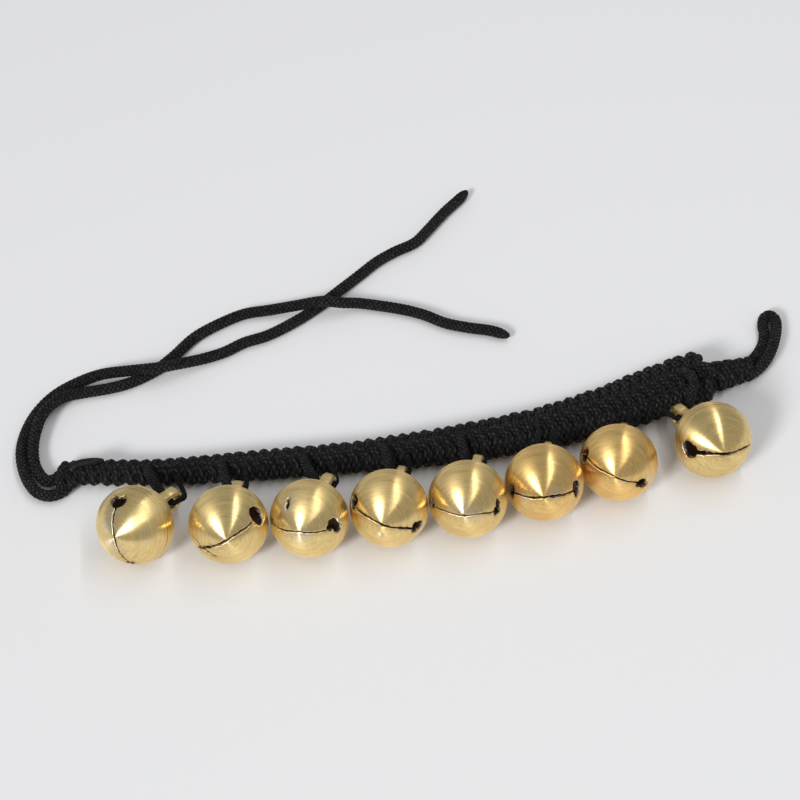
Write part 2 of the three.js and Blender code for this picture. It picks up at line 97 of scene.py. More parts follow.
def grid_squares(rows, columns):
    """Squares of a rows by columns grid whose last column joins the first, and the (row, column) of each corner."""
    row, column = np.meshgrid(np.arange(rows - 1), np.arange(columns), indexing="ij")
    corners = np.stack([row.ravel(), column.ravel()], -1)[:, None, :] + SQUARE
    return corners[:, :, 0] * columns + corners[:, :, 1] % columns, corners


def mesh_piece(name, points, squares, uv, marks, materials):
    """A smooth mesh object from points in millimetres, squares of point numbers, a UV pair for each corner and
    named values for each point. Squares that shrink to a point are merged away."""
    mesh = bpy.data.meshes.new(name)
    mesh.from_pydata((points.reshape(-1, 3) * MM).tolist(), [], squares.tolist())
    mesh.uv_layers.new(name="lay").data.foreach_set("uv", uv.astype(np.float32).ravel())
    for mark, values in marks.items():
        attribute = mesh.attributes.new(mark, "FLOAT", "POINT")
        attribute.data.foreach_set("value", values.astype(np.float32).ravel())
    mesh.validate()
    weld(mesh)
    mesh.polygons.foreach_set("use_smooth", np.ones(len(mesh.polygons), bool))
    for material in materials:
        mesh.materials.append(material)
    piece = bpy.data.objects.new(name, mesh)
    bpy.context.scene.collection.objects.link(piece)
    return piece


def weld(mesh):
    """Joins points that lie in one place, such as the tip of a rounded end."""
    work = bmesh.new()
    work.from_mesh(mesh)
    bmesh.ops.remove_doubles(work, verts=work.verts, dist=WELD_DISTANCE)
    work.to_mesh(mesh)
    work.free()


print("a grid of 3 by 4 points has", len(grid_squares(3, 4)[0]), "squares")

# %% [markdown]
# A braided cord is one curve with a pattern round it. The curve goes through listed points. The pattern
# is two sets of strands that wind opposite ways and pass over and under each other, so the surface rises in
# small lenses. The mesh carries the lenses as coarse relief, which roughens the outline. The UV map counts strands
# round and crossings along, so the material can draw the same lenses finely.

# %% Curves
SPAN_STEPS = 40


def smooth_route(points, step):
    """Centripetal Catmull-Rom: between two points the curve is a cubic whose end slopes come from its
    neighbours, weighted by the square root of their distances. It is then cut into even steps of length."""
    given = np.asarray(points, float)
    ends = np.vstack([2 * given[0] - given[1], given, 2 * given[-1] - given[-2]])
    p0, p1, p2, p3 = ends[:-3], ends[1:-2], ends[2:-1], ends[3:]
    d0, d1, d2 = (np.sqrt(np.linalg.norm(b - a, axis=1))[:, None] for a, b in ((p0, p1), (p1, p2), (p2, p3)))
    slope1 = ((p1 - p0) / d0 - (p2 - p0) / (d0 + d1) + (p2 - p1) / d1) * d1
    slope2 = ((p2 - p1) / d1 - (p3 - p1) / (d1 + d2) + (p3 - p2) / d2) * d1
    t = np.linspace(0, 1, SPAN_STEPS, endpoint=False)[:, None, None]
    spans = ((2 * t**3 - 3 * t**2 + 1) * p1 + (t**3 - 2 * t**2 + t) * slope1
             + (3 * t**2 - 2 * t**3) * p2 + (t**3 - t**2) * slope2)
    dense = np.vstack([spans.transpose(1, 0, 2).reshape(-1, 3), given[-1:]])
    length = np.concatenate([[0], np.cumsum(np.linalg.norm(np.diff(dense, axis=0), axis=1))])
    even = np.linspace(0, length[-1], int(round(length[-1] / step)) + 1)
    return np.stack([np.interp(even, length, dense[:, axis]) for axis in range(3)], -1)


def route_length(path):
    """The sum of the steps along a path."""
    return float(np.linalg.norm(np.diff(path, axis=0), axis=1).sum())


def unit(vectors):
    """Vectors divided by their lengths."""
    return vectors / np.linalg.norm(vectors, axis=-1, keepdims=True)


# %% [markdown]
# A ring of points carried along the curve makes the tube. Blender's curve bevel would give a plain one, but here
# every point of the ring takes its own height from the braid, and the ends are rounded by shrinking the rings.

# %% Braided cords
FLAT_TOP = 0.35


def braid_relief(along, angle, strands, lay):
    """Height, 0 to 1, of a round braid: strand number = strands * angle / turn, plus along / lay for one set
    and minus it for the other. In each diamond the upper strand is a lens, a cosine across and a flat-topped
    cosine along."""
    turn = strands * angle / (2 * np.pi)
    left = turn + along / lay
    right = turn - along / lay
    over = (np.floor(left) + np.floor(right)) % 2 == 0
    a = left - np.floor(left) - 0.5
    b = right - np.floor(right) - 0.5
    across = np.where(over, a, b)
    down = np.where(over, b, a)
    return np.cos(np.pi * across) * np.maximum(np.cos(np.pi * down), 0) ** FLAT_TOP


def braided_tubes(paths, hints, diameter, sides, strands, lay, relief, start_taper, end_taper):
    """Tubes round several paths of equally many points. A ring lies square to its path, and starts square to the
    hint. Its radius is the cord's, less the braid's relief, times a rounded taper sqrt(1 - (1 - s / taper)^2) at
    each end."""
    tangent = unit(np.gradient(paths, axis=1))
    side = unit(np.cross(hints, tangent))
    other = np.cross(tangent, side)
    steps = np.linalg.norm(np.diff(paths, axis=1), axis=2)
    along = np.concatenate([np.zeros((len(paths), 1)), np.cumsum(steps, axis=1)], 1)
    left = along[:, -1:] - along
    rounded = lambda s, taper: np.sqrt(np.clip(1 - (1 - np.clip(s / taper, 0, 1)) ** 2, 0, 1))
    taper = rounded(along, start_taper) * rounded(left, end_taper)
    angle = np.linspace(0, 2 * np.pi, sides, endpoint=False)
    height = braid_relief(along[:, :, None], angle[None, None, :], strands, lay)
    radius = (np.asarray(diameter)[..., None] / 2 - relief * (1 - height)) * taper[:, :, None]
    ring = np.cos(angle)[:, None] * side[:, :, None, :] + np.sin(angle)[:, None] * other[:, :, None, :]
    return paths[:, :, None, :] + radius[..., None] * ring, along


def cord_piece(name, paths, hints, diameter, material, sides=24, strands=8, lay=1.5, relief=0.24,
               start_taper=0.6, end_taper=0.6):
    """One mesh object of braided tubes, with UV in crossings along and strands round."""
    points, along = braided_tubes(paths, hints, diameter, sides, strands, lay, relief, start_taper, end_taper)
    count, rows = paths.shape[:2]
    squares, corners = grid_squares(rows, sides)
    every = (squares + np.arange(count)[:, None, None] * rows * sides).reshape(-1, 4)
    lengthwise = along[:, corners[:, :, 0]] / lay
    roundwise = np.broadcast_to(corners[:, :, 1] * strands / sides, lengthwise.shape)
    return mesh_piece(name, points, every, np.stack([lengthwise, roundwise], -1), {}, [material])


# %% [markdown]
# An effect that several finishes share is a node group. Nodes could be placed by hand in the shader editor. Here
# small functions place them, so that a formula reads like a formula: each takes sockets or numbers and gives
# back the socket that holds the result.

# %% Helpers for node groups
def new_group(name, inputs, outputs):
    """An empty shader node group. A number as an input's value makes a value socket, three numbers a colour."""
    group = bpy.data.node_groups.new(name, "ShaderNodeTree")
    for socket, value in inputs.items():
        plain = isinstance(value, float)
        made = group.interface.new_socket(
            socket, in_out="INPUT", socket_type="NodeSocketFloat" if plain else "NodeSocketColor")
        made.default_value = value if plain else (*value, 1)
    for socket, kind in outputs.items():
        group.interface.new_socket(socket, in_out="OUTPUT", socket_type=kind)
    return group, group.nodes.new("NodeGroupInput").outputs, group.nodes.new("NodeGroupOutput").inputs


def add_math(tree, operation, first, second=0):
    """A math node; each operand is a socket or a number."""
    node = tree.nodes.new("ShaderNodeMath")
    node.operation = operation
    for place, value in enumerate((first, second)):
        if isinstance(value, (int, float)):
            node.inputs[place].default_value = value
        else:
            tree.links.new(value, node.inputs[place])
    return node.outputs[0]


def plus(tree, first, second):
    return add_math(tree, "ADD", first, second)


def minus(tree, first, second):
    return add_math(tree, "SUBTRACT", first, second)


def times(tree, first, second):
    return add_math(tree, "MULTIPLY", first, second)


def add_mix(tree, share, first, second):
    """A colour mix of two sockets; share is a socket too."""
    node = tree.nodes.new("ShaderNodeMix")
    node.data_type = "RGBA"
    for place, value in (("Factor", share), (6, first), (7, second)):
        tree.links.new(value, node.inputs[place])
    return node.outputs[2]


def add_range(tree, value, low, high):
    """0 below low, 1 above high, and straight between."""
    node = tree.nodes.new("ShaderNodeMapRange")
    node.inputs["From Min"].default_value = low
    node.inputs["From Max"].default_value = high
    tree.links.new(value, node.inputs["Value"])
    return node.outputs["Result"]


def add_noise(tree, vector, scale, detail, roughness=0.5):
    """A noise texture read at a vector socket."""
    node = tree.nodes.new("ShaderNodeTexNoise")
    node.inputs["Scale"].default_value = scale
    node.inputs["Detail"].default_value = detail
    node.inputs["Roughness"].default_value = roughness
    tree.links.new(vector, node.inputs["Vector"])
    return node.outputs["Fac"]


def object_place(tree):
    """Object coordinates, in metres."""
    return tree.nodes.new("ShaderNodeTexCoord").outputs["Object"]


def uv_parts(tree):
    """The two numbers of the UV map."""
    lay = tree.nodes.new("ShaderNodeUVMap")
    lay.uv_map = "lay"
    parts = tree.nodes.new("ShaderNodeSeparateXYZ")
    tree.links.new(lay.outputs["UV"], parts.inputs["Vector"])
    return parts.outputs["X"], parts.outputs["Y"]


def effect_material(name, group, values, height):
    """A material whose colour, roughness and bump come from a node group with its own values. Gives back the
    material and its shader."""
    material = bpy.data.materials.new(name)
    material.use_nodes = True
    tree = material.node_tree
    surface = tree.nodes["Principled BSDF"]
    effect = tree.nodes.new("ShaderNodeGroup")
    effect.node_tree = group
    for socket, value in values.items():
        effect.inputs[socket].default_value = value if isinstance(value, float) else (*value, 1)
    bump = tree.nodes.new("ShaderNodeBump")
    bump.inputs["Strength"].default_value = 1.0
    bump.inputs["Distance"].default_value = height * MM
    tree.links.new(effect.outputs["Colour"], surface.inputs["Base Color"])
    tree.links.new(effect.outputs["Roughness"], surface.inputs["Roughness"])
    tree.links.new(effect.outputs["Height"], bump.inputs["Height"])
    tree.links.new(bump.outputs["Normal"], surface.inputs["Normal"])
    return material, surface


EFFECT_OUTPUTS = {"Colour": "NodeSocketColor", "Roughness": "NodeSocketFloat", "Height": "NodeSocketFloat"}

# %% [markdown]
# The cord's finish draws the braid from the UV map with the formula of braid_relief, so each lens stays sharp
# however close the camera comes. The gaps between the strands are painted near-black as painted shade, the crests
# are painted greyer as a painted highlight and made shinier, and fine noise breaks them into fibres. A photographed
# texture would be quicker, but would blur and repeat.

# %% Black cord
FIBRE_SCALE = 950
PATCH_SCALE = 90
FIBRE_RANGE = (0.34, 0.66)
FIBRE_DEPTH = 0.5
PATCH_BASE = 0.6
CREST_POWER = 1.4
CORD_SPECULAR = 0.3


def lens_height(tree):
    """The braid's height from the UV map: strand numbers up to the right and up to the left, which of the two
    lies on top in this diamond, and a cosine lens across it."""
    along, turn = uv_parts(tree)
    left = plus(tree, turn, along)
    right = minus(tree, turn, along)
    whole = plus(tree, add_math(tree, "FLOOR", left), add_math(tree, "FLOOR", right))
    under = add_math(tree, "FLOORED_MODULO", whole, 2)
    a = minus(tree, add_math(tree, "FRACT", left), 0.5)
    b = minus(tree, add_math(tree, "FRACT", right), 0.5)
    swap = times(tree, under, minus(tree, b, a))
    top = add_math(tree, "COSINE", times(tree, plus(tree, a, swap), np.pi))
    ends = add_math(tree, "COSINE", times(tree, minus(tree, b, swap), np.pi))
    return times(tree, top, add_math(tree, "POWER", add_math(tree, "MAXIMUM", ends), FLAT_TOP))


def fibre_and_shade_group():
    """Colour goes from painted shade in the gaps to a painted highlight on the crests, and roughness from dull to
    shiny, with the lens height times uneven noise; both add to the bump.
    """
    group, given, made = new_group(
        "cord_fibre_and_painted_shade", {"Gap": (0.002, 0.002, 0.002), "Lit_Crest": (0.02, 0.02, 0.02), "Dull": 0.7, "Shine": 0.45},
        EFFECT_OUTPUTS)
    lens = lens_height(group)
    place = object_place(group)
    uneven = add_range(group, add_noise(group, place, FIBRE_SCALE, 3), *FIBRE_RANGE)
    patches = add_noise(group, place, PATCH_SCALE, 2)
    # Painted highlight on the crests and painted shade in the gaps: the colour follows the lens height.
    crest_highlight = times(group, add_math(group, "POWER", lens, CREST_POWER), uneven)
    lit = times(group, crest_highlight, plus(group, patches, PATCH_BASE))
    group.links.new(add_mix(group, lit, given["Gap"], given["Lit_Crest"]), made["Colour"])
    shine = times(group, crest_highlight, minus(group, given["Shine"], given["Dull"]))
    group.links.new(plus(group, given["Dull"], shine), made["Roughness"])
    group.links.new(plus(group, lens, times(group, uneven, FIBRE_DEPTH)), made["Height"])
    return group


FIBRE_AND_SHADE = fibre_and_shade_group()


def cord_material(name, shaded_gap, crest, dull, shine, relief):
    """Black braided cord; the numbers say how dark the painted shade in its gaps is, how grey the painted highlight
    on its crests is, how much the crests shine and how high they stand.
    """
    values = {"Gap": shaded_gap, "Lit_Crest": crest, "Dull": dull, "Shine": shine}
    material, surface = effect_material(name, FIBRE_AND_SHADE, values, relief)
    surface.inputs["Specular IOR Level"].default_value = CORD_SPECULAR
    return material


BLACK_BRAID = cord_material("black_braid", (0.0006, 0.0006, 0.0007), (0.034, 0.034, 0.037), 0.9, 0.36, 0.5)
BLACK_KNOTS = cord_material("black_knots", (0.0004, 0.0004, 0.0005), (0.034, 0.034, 0.036), 0.9, 0.34, 0.6)
BLACK_SMOOTH = cord_material("black_smooth", (0.002, 0.002, 0.002), (0.008, 0.008, 0.009), 0.45, 0.28, 0.05)
print("cord finishes:", [m.name for m in bpy.data.materials if m.name.startswith("black")])

# %% [markdown]
# The two tie ends and the fastening loop are lengths of one limp cord. They are seen nearly from end to end, so
# their length is what the picture shows. The routes below follow the cords as they lie, in millimetres before the
# frame is centred. A third number lifts the cord off the table, in cord diameters, where one passes over another.

# %% Free cords
FRAME_MIDDLE = np.array([0.865, 0.875, 0.0])
CORD_DIAMETER = 3.8
TABLE_GAP = 0.05
CORD_STEP = 0.3
TIE_A = [
    (-106.9, 15.4, 0.28), (-109.9, 13.1, 0.1), (-113.5, 12.7), (-116.9, 14.5), (-119.2, 18.5), (-120.6, 24),
    (-120.9, 31), (-119, 38.7), (-115.1, 46.1), (-109, 52.5), (-101, 56.8), (-93.6, 58.7, 0.05),
    (-83.8, 57.2, 0.5), (-75.8, 55.2, 1.02), (-68, 57.1, 0.6), (-60.8, 59.5, 0.1), (-53.8, 61.4),
    (-46.8, 64.4), (-39.5, 66), (-29.9, 70.3), (-21.7, 75.2), (-13.2, 81.5), (-4.5, 88), (1.3, 92.4),
    (7.9, 95.9), (15.6, 99.1), (21.5, 104.7), (27.8, 111.2), (34.4, 117), (37.9, 120.3),
]
TIE_B = [
    (-109, 19.7, 0.28), (-111.7, 18.3, 0.12), (-114, 18.7, 0.05), (-115.8, 21.3, 0.05), (-117, 25, 0.1),
    (-117.2, 30.7, 0.16), (-115.9, 37.2, 0.4), (-112.5, 44.6, 0.6), (-106.7, 49.9, 0.42), (-99.6, 52.2),
    (-91.4, 52.6), (-85.1, 53.7), (-76.4, 57.5), (-70.2, 62.3), (-62.1, 69.6), (-52.1, 74.6),
    (-44.9, 76.8, 0.02), (-36.7, 76.8, 0.1), (-28.3, 75.9, 0.5), (-19.5, 74.5, 1.02), (-13.1, 74.2, 0.6),
    (-7.2, 74.5, 0.15), (0.4, 72.3), (7.7, 69.2), (13.2, 66), (18.9, 61.6), (25.9, 58.3), (33.1, 55.6),
    (38.6, 52.2),
]
LOOP = [
    (109.5, 25.4, 0.28), (112.6, 27.7, 0.12), (115.9, 31, 0.02), (118.6, 34.7), (120.2, 38.8), (120.9, 42.9),
    (122.3, 45.6), (124.1, 46.1, 0.05), (125.3, 44, 0.1), (124.5, 40, 0.2), (122.6, 35.3, 0.4),
    (120.3, 30.9, 0.5), (117.5, 27, 0.45), (114.4, 24.1, 0.35), (111.3, 22.3, 0.28), (108.5, 21.7, 0.28),
]


def cord_route(route):
    """The route's points with their height: half a diameter, plus the lift, above the table."""
    lifted = [(x, y, CORD_DIAMETER * (0.5 + sum(lift)) + TABLE_GAP) for x, y, *lift in route]
    return smooth_route(np.array(lifted) - FRAME_MIDDLE, CORD_STEP)


def free_cord(name, node, route, end_taper):
    """A braided cord along a route, riding on the band; it prints the length that the route measures."""
    path = cord_route(route)
    piece = cord_piece(name, path[None], UP, CORD_DIAMETER, BLACK_BRAID,
                       sides=32, strands=6, lay=1.45, relief=0.28, end_taper=end_taper)
    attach(piece, "band")
    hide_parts(node)
    print(name, "is", round(route_length(path), 1), "mm long")


free_cord("tie_a", "tie_cord_a", TIE_A, 5.0)
free_cord("tie_b", "tie_cord_b", TIE_B, 5.0)
free_cord("loop", "fastening_loop", LOOP, 0.6)

# %% [markdown]
# The band is a row of knots worked round two core strands. It thickens to the right, because the tails of the bell
# hangers lie inside it, and ends in a narrow neck. So its shape is a middle line, with a width and a height that
# change along it. Every piece of the band asks this shape where it is, which keeps them all together.

# %% Shape of the band
KNOT_COUNT = 60
REST_FLAT = 0.5
BAND_STEP = 0.2
BAND_LINE = [
    (-107.3, 18.3, 0), (-102.6, 19.0, 0), (-95, 17.5, 0), (-80, 14.8, 0), (-50, 12.0, 0), (-20, 9.9, 0),
    (10, 8.8, 0), (40, 10.1, 0), (65, 14.1, 0), (90, 20.8, 0), (109, 23.8, 0),
]
SIZE_KNOTS = [0, 7, 15, 24, 33, 42, 50, 55.9, 56.1, 60]
SIZE_WIDTHS = [8.8, 9.2, 10.6, 11.2, 13.6, 15.6, 18.8, 19.4, 12.2, 8.8]
SIZE_HEIGHTS = [7.6, 7.8, 8.7, 9.0, 10.8, 11.8, 13.0, 13.2, 9.2, 7.6]

band_line = smooth_route(np.array(BAND_LINE) - FRAME_MIDDLE, BAND_STEP)
band_knots = np.linspace(0, KNOT_COUNT, len(band_line))
band_along = unit(np.gradient(band_line, axis=0))


def band_point(knot, across, height):
    """A point of the band and its direction: the middle line at a place counted in knots, moved sideways to the
    far edge and up."""
    middle, along = (np.stack([np.interp(knot, band_knots, line[:, axis]) for axis in range(3)], -1)
                     for line in (band_line, band_along))
    return middle + across[..., None] * np.cross(UP, along) + height[..., None] * UP, along


def band_size(knot):
    """Width and height of the band at a place counted in knots."""
    return np.interp(knot, SIZE_KNOTS, SIZE_WIDTHS), np.interp(knot, SIZE_KNOTS, SIZE_HEIGHTS)


print("band", round(route_length(band_line), 1), "mm long,", KNOT_COUNT, "knots")

# %% [markdown]
# Seen from above, loops of cord come over the far edge and over the near edge, and a chain of short links locks
# them along the middle. So each knot is two braided tubes that start under the middle, rise, go out over the edge
# and round to the table, and two short ones that lie slantwise on top. An array modifier could repeat one knot,
# but the band changes size and the hand that tied it wasn't even, so every loop gets its own path.

# %% Loops of the knots
KNOT_CORD = 3.9
KNOT_ROWS = 72
KNOT_SLANT = 0.12
SLANT_SPREAD = 0.12
WIDTH_SPREAD = (0.96, 1.02)
FIRST_KNOT = 0.5
LOOP_START = 66
LOOP_SWEEP = 159
DIVE_SHARE = 0.2
DIVE_DEPTH = 0.5
UNEVEN = np.random.default_rng(7)


def knot_loops(side):
    """Paths of one row of loops. The angle runs from just past the top, out over the edge, and under to the
    table; the radius starts well inside, so the loop dives under the middle links, and swells to the edge."""
    knots = FIRST_KNOT + np.arange(KNOT_COUNT)
    sweep = np.linspace(0, 1, KNOT_ROWS)
    angle = np.radians(LOOP_START - LOOP_SWEEP * sweep)
    width, height = band_size(knots)
    width = width * UNEVEN.uniform(*WIDTH_SPREAD, KNOT_COUNT)
    slant = KNOT_SLANT + UNEVEN.uniform(-SLANT_SPREAD, SLANT_SPREAD, (KNOT_COUNT, 1))
    dive = 1 - DIVE_DEPTH * np.clip(1 - sweep / DIVE_SHARE, 0, 1) ** 2
    reach = (width / 2 - KNOT_CORD / 2)[:, None] * dive
    rise = (height / 2 - KNOT_CORD / 2)[:, None] * dive
    up = np.maximum((height / 2 - REST_FLAT)[:, None] + rise * np.sin(angle), KNOT_CORD / 2)
    place = knots[:, None] + side * slant * np.cos(angle)
    return band_point(np.clip(place, 0, KNOT_COUNT), side * reach * np.cos(angle), up)


def knot_row(name, side):
    """One row of loops as a piece that rides on the band."""
    paths, along = knot_loops(side)
    piece = cord_piece(name, paths, along, KNOT_CORD, BLACK_KNOTS, sides=22, strands=5, lay=2.1, relief=0.3)
    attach(piece, "band")
    return piece


far_knots = knot_row("knots_far", 1)
knot_row("knots_near", -1)
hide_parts("knotted_sleeve")
print("knot loops:", 2 * KNOT_COUNT)

# %% [markdown]
# The links that lock the loops are short arches in two rows, leaning opposite ways. Where the ties and the loop
# leave the band, a few turns of cord are wound round them. Both are braided tubes again, on paths of their own.

# %% Links and end rings
LINK_CORD = 3.3
LINK_ROWS = 36
LINK_MIDDLE = 0.09
LINK_REACH = 0.11
LINK_PROUD = 0.45
LINK_SINK = 1.3
LINK_LEAN = 0.4
LINK_STARTS = [(1, 0.5), (-1, 0.9)]
END_CORD = 3.0
END_SINK = 0.2
ALONG_BAND = np.array([1.0, 0, 0])
# Each end ring: its place, half width and half height in millimetres, and its turn in degrees.
END_RINGS = np.array([(-109.2, 17.6, 3.3, 2.2, 12), (-107.2, 18.6, 3.4, 2.3, -10), (110.3, 23.9, 3.0, 2.2, 8)])


def link_paths(side, first):
    """Short arches from the middle of the top towards one edge: each leans along the band, follows its oval and
    sinks at both ends. The two rows of them make a chain of V shapes."""
    knots = first + np.arange(KNOT_COUNT)
    sweep = np.linspace(-1, 1, LINK_ROWS)
    width, height = band_size(knots)
    share = LINK_MIDDLE + LINK_REACH * sweep
    arch = (height / 2 - LINK_CORD / 2 + LINK_PROUD)[:, None] * np.sqrt(1 - (2 * share) ** 2)
    up = (height / 2 - REST_FLAT)[:, None] + arch - LINK_SINK * sweep**6
    place = np.clip(knots[:, None] + LINK_LEAN * sweep, 0, KNOT_COUNT)
    return band_point(place, side * width[:, None] * share, up)[0]


def end_rings():
    """Oval rings round the cords where they leave the band, each a little turned about the upright."""
    x, y, wide, high, degrees = END_RINGS.T[:, :, None]
    angle = np.linspace(0, 2 * np.pi, KNOT_ROWS)
    turn = np.radians(degrees)
    out = wide * np.cos(angle)
    up = high + END_CORD / 2 - END_SINK + high * np.sin(angle)
    return np.stack([x + out * np.sin(turn), y + out * np.cos(turn), up], -1) - FRAME_MIDDLE


links = np.concatenate([link_paths(side, first) for side, first in LINK_STARTS])
link_row = cord_piece("knots_links", links, UP, LINK_CORD, BLACK_KNOTS, sides=18, strands=5, lay=2.0, relief=0.3)
end_knots = cord_piece("knots_ends", end_rings(), ALONG_BAND, END_CORD, BLACK_KNOTS, sides=22, strands=6, lay=1.6,
                       relief=0.25, start_taper=0.01, end_taper=0.01)
for piece in (link_row, end_knots):
    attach(piece, "band")
print("links:", len(links), "end rings:", len(END_RINGS))

# %% [markdown]
# Inside the knots run two core strands and the tails of the hangers. Only a dark glimpse of them shows between the
# loops, so one closed oval tube stands for all of them and stops the light from shining through.

# %% Core of the band
CORE_ROWS = 180
CORE_SIDES = 24
CORE_END = 0.2
CORE_CLOSING = 0.6
CORE_INSET = (1.3, 1.4)


def core_surface(name):
    """A closed oval tube inside the knots: at each place along the band an ellipse, shrunk to a point at both
    ends."""
    knots = np.linspace(CORE_END, KNOT_COUNT - CORE_END, CORE_ROWS)
    angle = np.linspace(0, 2 * np.pi, CORE_SIDES, endpoint=False)
    width, height = band_size(knots)
    left = np.minimum(knots - CORE_END, KNOT_COUNT - CORE_END - knots)
    closing = np.clip(left / CORE_CLOSING, 0, 1) ** 0.5
    across = ((width / 2 - CORE_INSET[0]) * closing)[:, None] * np.cos(angle)
    up = (height / 2 - REST_FLAT)[:, None] + ((height / 2 - CORE_INSET[1]) * closing)[:, None] * np.sin(angle)
    points, _ = band_point(np.broadcast_to(knots[:, None], across.shape), across, up)
    squares, corners = grid_squares(CORE_ROWS, CORE_SIDES)
    return mesh_piece(name, points, squares, corners, {}, [BLACK_KNOTS])


core = core_surface("band_core")
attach(core, "band")
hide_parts("core_strand_near", "core_strand_far", "hanger_tails_near", "hanger_tails_far")
print("squares in the core:", len(core.data.polygons))

# %% [markdown]
# Each bell hangs on a strand that goes through the eye of its lug and back into the band. The strand comes out
# of the top of the knots, goes over their near side, runs down to the lug and straight through its eye. It rides
# on the band, and the bell turns about it. The frame's joints say where the eye is and which way its hole points.

# %% Hanger strands
HANGER_DIAMETER = 3.2
HANGER_SPREAD = 3.3
HANGER_LEAN = [-1.5, 0, -1.5, 0.5, 0.5, 1.5, 1.5, 1.0]
HANGER_BEND = 1.5
HANGER_CREST = [0.9, 0.9, 0.9, 0.9, 0.9, 0.9, 0.9, 3.4]
CREST_ANGLE = 58
FOOT_ANGLE = 95
FOOT_SINK = 1.0
SIDE_FOOT_SINK = 2.4
# A leg along the lug's side: out from the lug, along it and up, in millimetres.
SIDE_BENDS = [(0.0, 4.6, -0.2), (0.2, 2.0, 0.2), (0.1, 0.5, 0.2), (-0.4, 0, 0)]
HIDDEN_SIDE = [1, 1, 1, 1, 1, -1, -1, -1]
HIDDEN_THINNER = 1.5
HINT_REACH = 3.5
HINT_TILT = 0.2
BELL_LIFT = np.radians([28, 28, 30, 27, 27, 28, 28, 28])
BELL_TWIST = np.radians([-10, -9, -4, -2, -3, -2, 3, 25])
LUG_WIDTH = 3.2
LUG_CLEAR = 0.1


def bell_axes(n):
    """A bell's centre and eye, the line and axis of its lug, and the three unit vectors of its shells: along the
    level, upright and crown. The shells are turned a little from the lug and dip their crown."""
    eye = np.array(joints[f"bell_{n}_swing"]["pos_m"]) / MM
    centre = np.array(joints[f"pellet_{n}_roll"]["pos_m"]) / MM
    pin = -np.array(joints[f"bell_{n}_swing"]["axis"], float)
    facing = np.arctan2(-pin[1], pin[0]) + BELL_TWIST[n - 1]
    lift = BELL_LIFT[n - 1]
    level = np.array([np.cos(facing), -np.sin(facing), 0])
    crown = np.array([np.sin(facing) * np.cos(lift), np.cos(facing) * np.cos(lift), -np.sin(lift)])
    return centre, eye, unit(eye - centre), pin, np.stack([level, np.cross(crown, level), crown])


def over_band(knot, degrees, outside):
    """A point at an angle round the near side of the band, so far outside its oval."""
    angle = np.radians(degrees)
    width, height = band_size(knot)
    out = -(width / 2 + outside) * np.cos(angle)
    above = height / 2 - REST_FLAT + (height / 2 + outside) * np.sin(angle)
    return band_point(np.array(knot), np.array(out), np.array(above))[0]


def hanger_leg(n, side, eye, lug, pin):
    """Points of one leg from its foot, sunk in the top of the band, over its crest to an arc round the edge of the
    lug. A leg that isn't clear of the lug lies along its side instead and goes straight back into the band."""
    inside = LUG_WIDTH / 2 + LUG_CLEAR
    knot = np.interp(eye[0] + side * HANGER_SPREAD + HANGER_LEAN[n - 1], band_line[:, 0], band_knots)
    crest = over_band(knot, CREST_ANGLE, HANGER_CREST[n - 1])
    aside = side * (crest - eye) @ pin
    if aside < inside + HANGER_BEND:
        return [over_band(knot, FOOT_ANGLE, -SIDE_FOOT_SINK)] + [
            eye + side * (inside + x) * pin + y * lug + rise * UP for x, y, rise in SIDE_BENDS]
    leave = np.arctan2((crest - eye) @ lug, aside - inside)
    return [over_band(knot, FOOT_ANGLE, -FOOT_SINK), crest] + [
        eye + side * (inside + HANGER_BEND * np.sin(a)) * pin + HANGER_BEND * (1 - np.cos(a)) * lug
        for a in (leave, leave / 2, 0)]


def hanger_width(n, path, eye, pin):
    """The strand's diameter at each place: full on the leg that shows, less past the eye, where it is pulled
    flat against the lug."""
    order = HIDDEN_SIDE[n - 1]
    past = np.clip((path - eye) @ pin * order, 0, 1)
    return HANGER_DIAMETER - HIDDEN_THINNER * np.maximum.accumulate(past[::order])[::order][None]


def hanger_hints(path, eye, lug, pin):
    """A direction square to the strand at each place: the lug's axis along the legs, upright through the eye."""
    far = np.clip(np.linalg.norm(path - eye, axis=1) / HINT_REACH - 1, 0, 1)[:, None]
    return unit(far * pin + (1 - far) * (UP + HINT_TILT * lug))


for n in BELLS:
    centre, eye, lug, pin, axes = bell_axes(n)
    left, right = (hanger_leg(n, side, eye, lug, pin) for side in (-1, 1))
    path = smooth_route(left + [eye] + right[::-1], CORD_STEP)
    strand = cord_piece(f"hanger_{n}", path[None], hanger_hints(path, eye, lug, pin)[None],
                        hanger_width(n, path, eye, pin), BLACK_BRAID, strands=6, lay=1.3, relief=0.2)
    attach(strand, "band")
    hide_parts(f"bell_{n}_hanger")
print("hanger strands:", BELL_COUNT)

# %% [markdown]
# At the left end, one smooth strand is tucked under the first knots and shows as a short shiny bar on top of
# them. It is a tube like the others, almost without relief, in a smoother black.

# %% Tucked strand at the left end
TUCK_DIAMETER = 2.6
TUCK_KNOTS = (0.2, 3.1)
TUCK_SIDE = 1.6
TUCK_SINK = 1.0
TUCK_PROUD = 0.3


def tuck_path():
    """A short strand laid along the top of the first knots, its two ends sunk between them."""
    first, last = TUCK_KNOTS
    middle = (first + last) / 2
    knots = np.array([first, (first + middle) / 2, (last + middle) / 2, last])
    rise = band_size(knots)[1] - REST_FLAT + np.array([-TUCK_SINK, TUCK_PROUD, TUCK_PROUD, -TUCK_SINK])
    points, _ = band_point(knots, np.array([-TUCK_SIDE / 2, 0, TUCK_SIDE / 2, TUCK_SIDE]), rise)
    return smooth_route(points, CORD_STEP)


tuck_line = tuck_path()
tuck = cord_piece("tuck", tuck_line[None], UP, TUCK_DIAMETER, BLACK_SMOOTH, sides=20, relief=0.05)
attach(tuck, "band")
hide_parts("end_tuck")
print("tuck is", round(route_length(tuck_line), 1), "mm long")

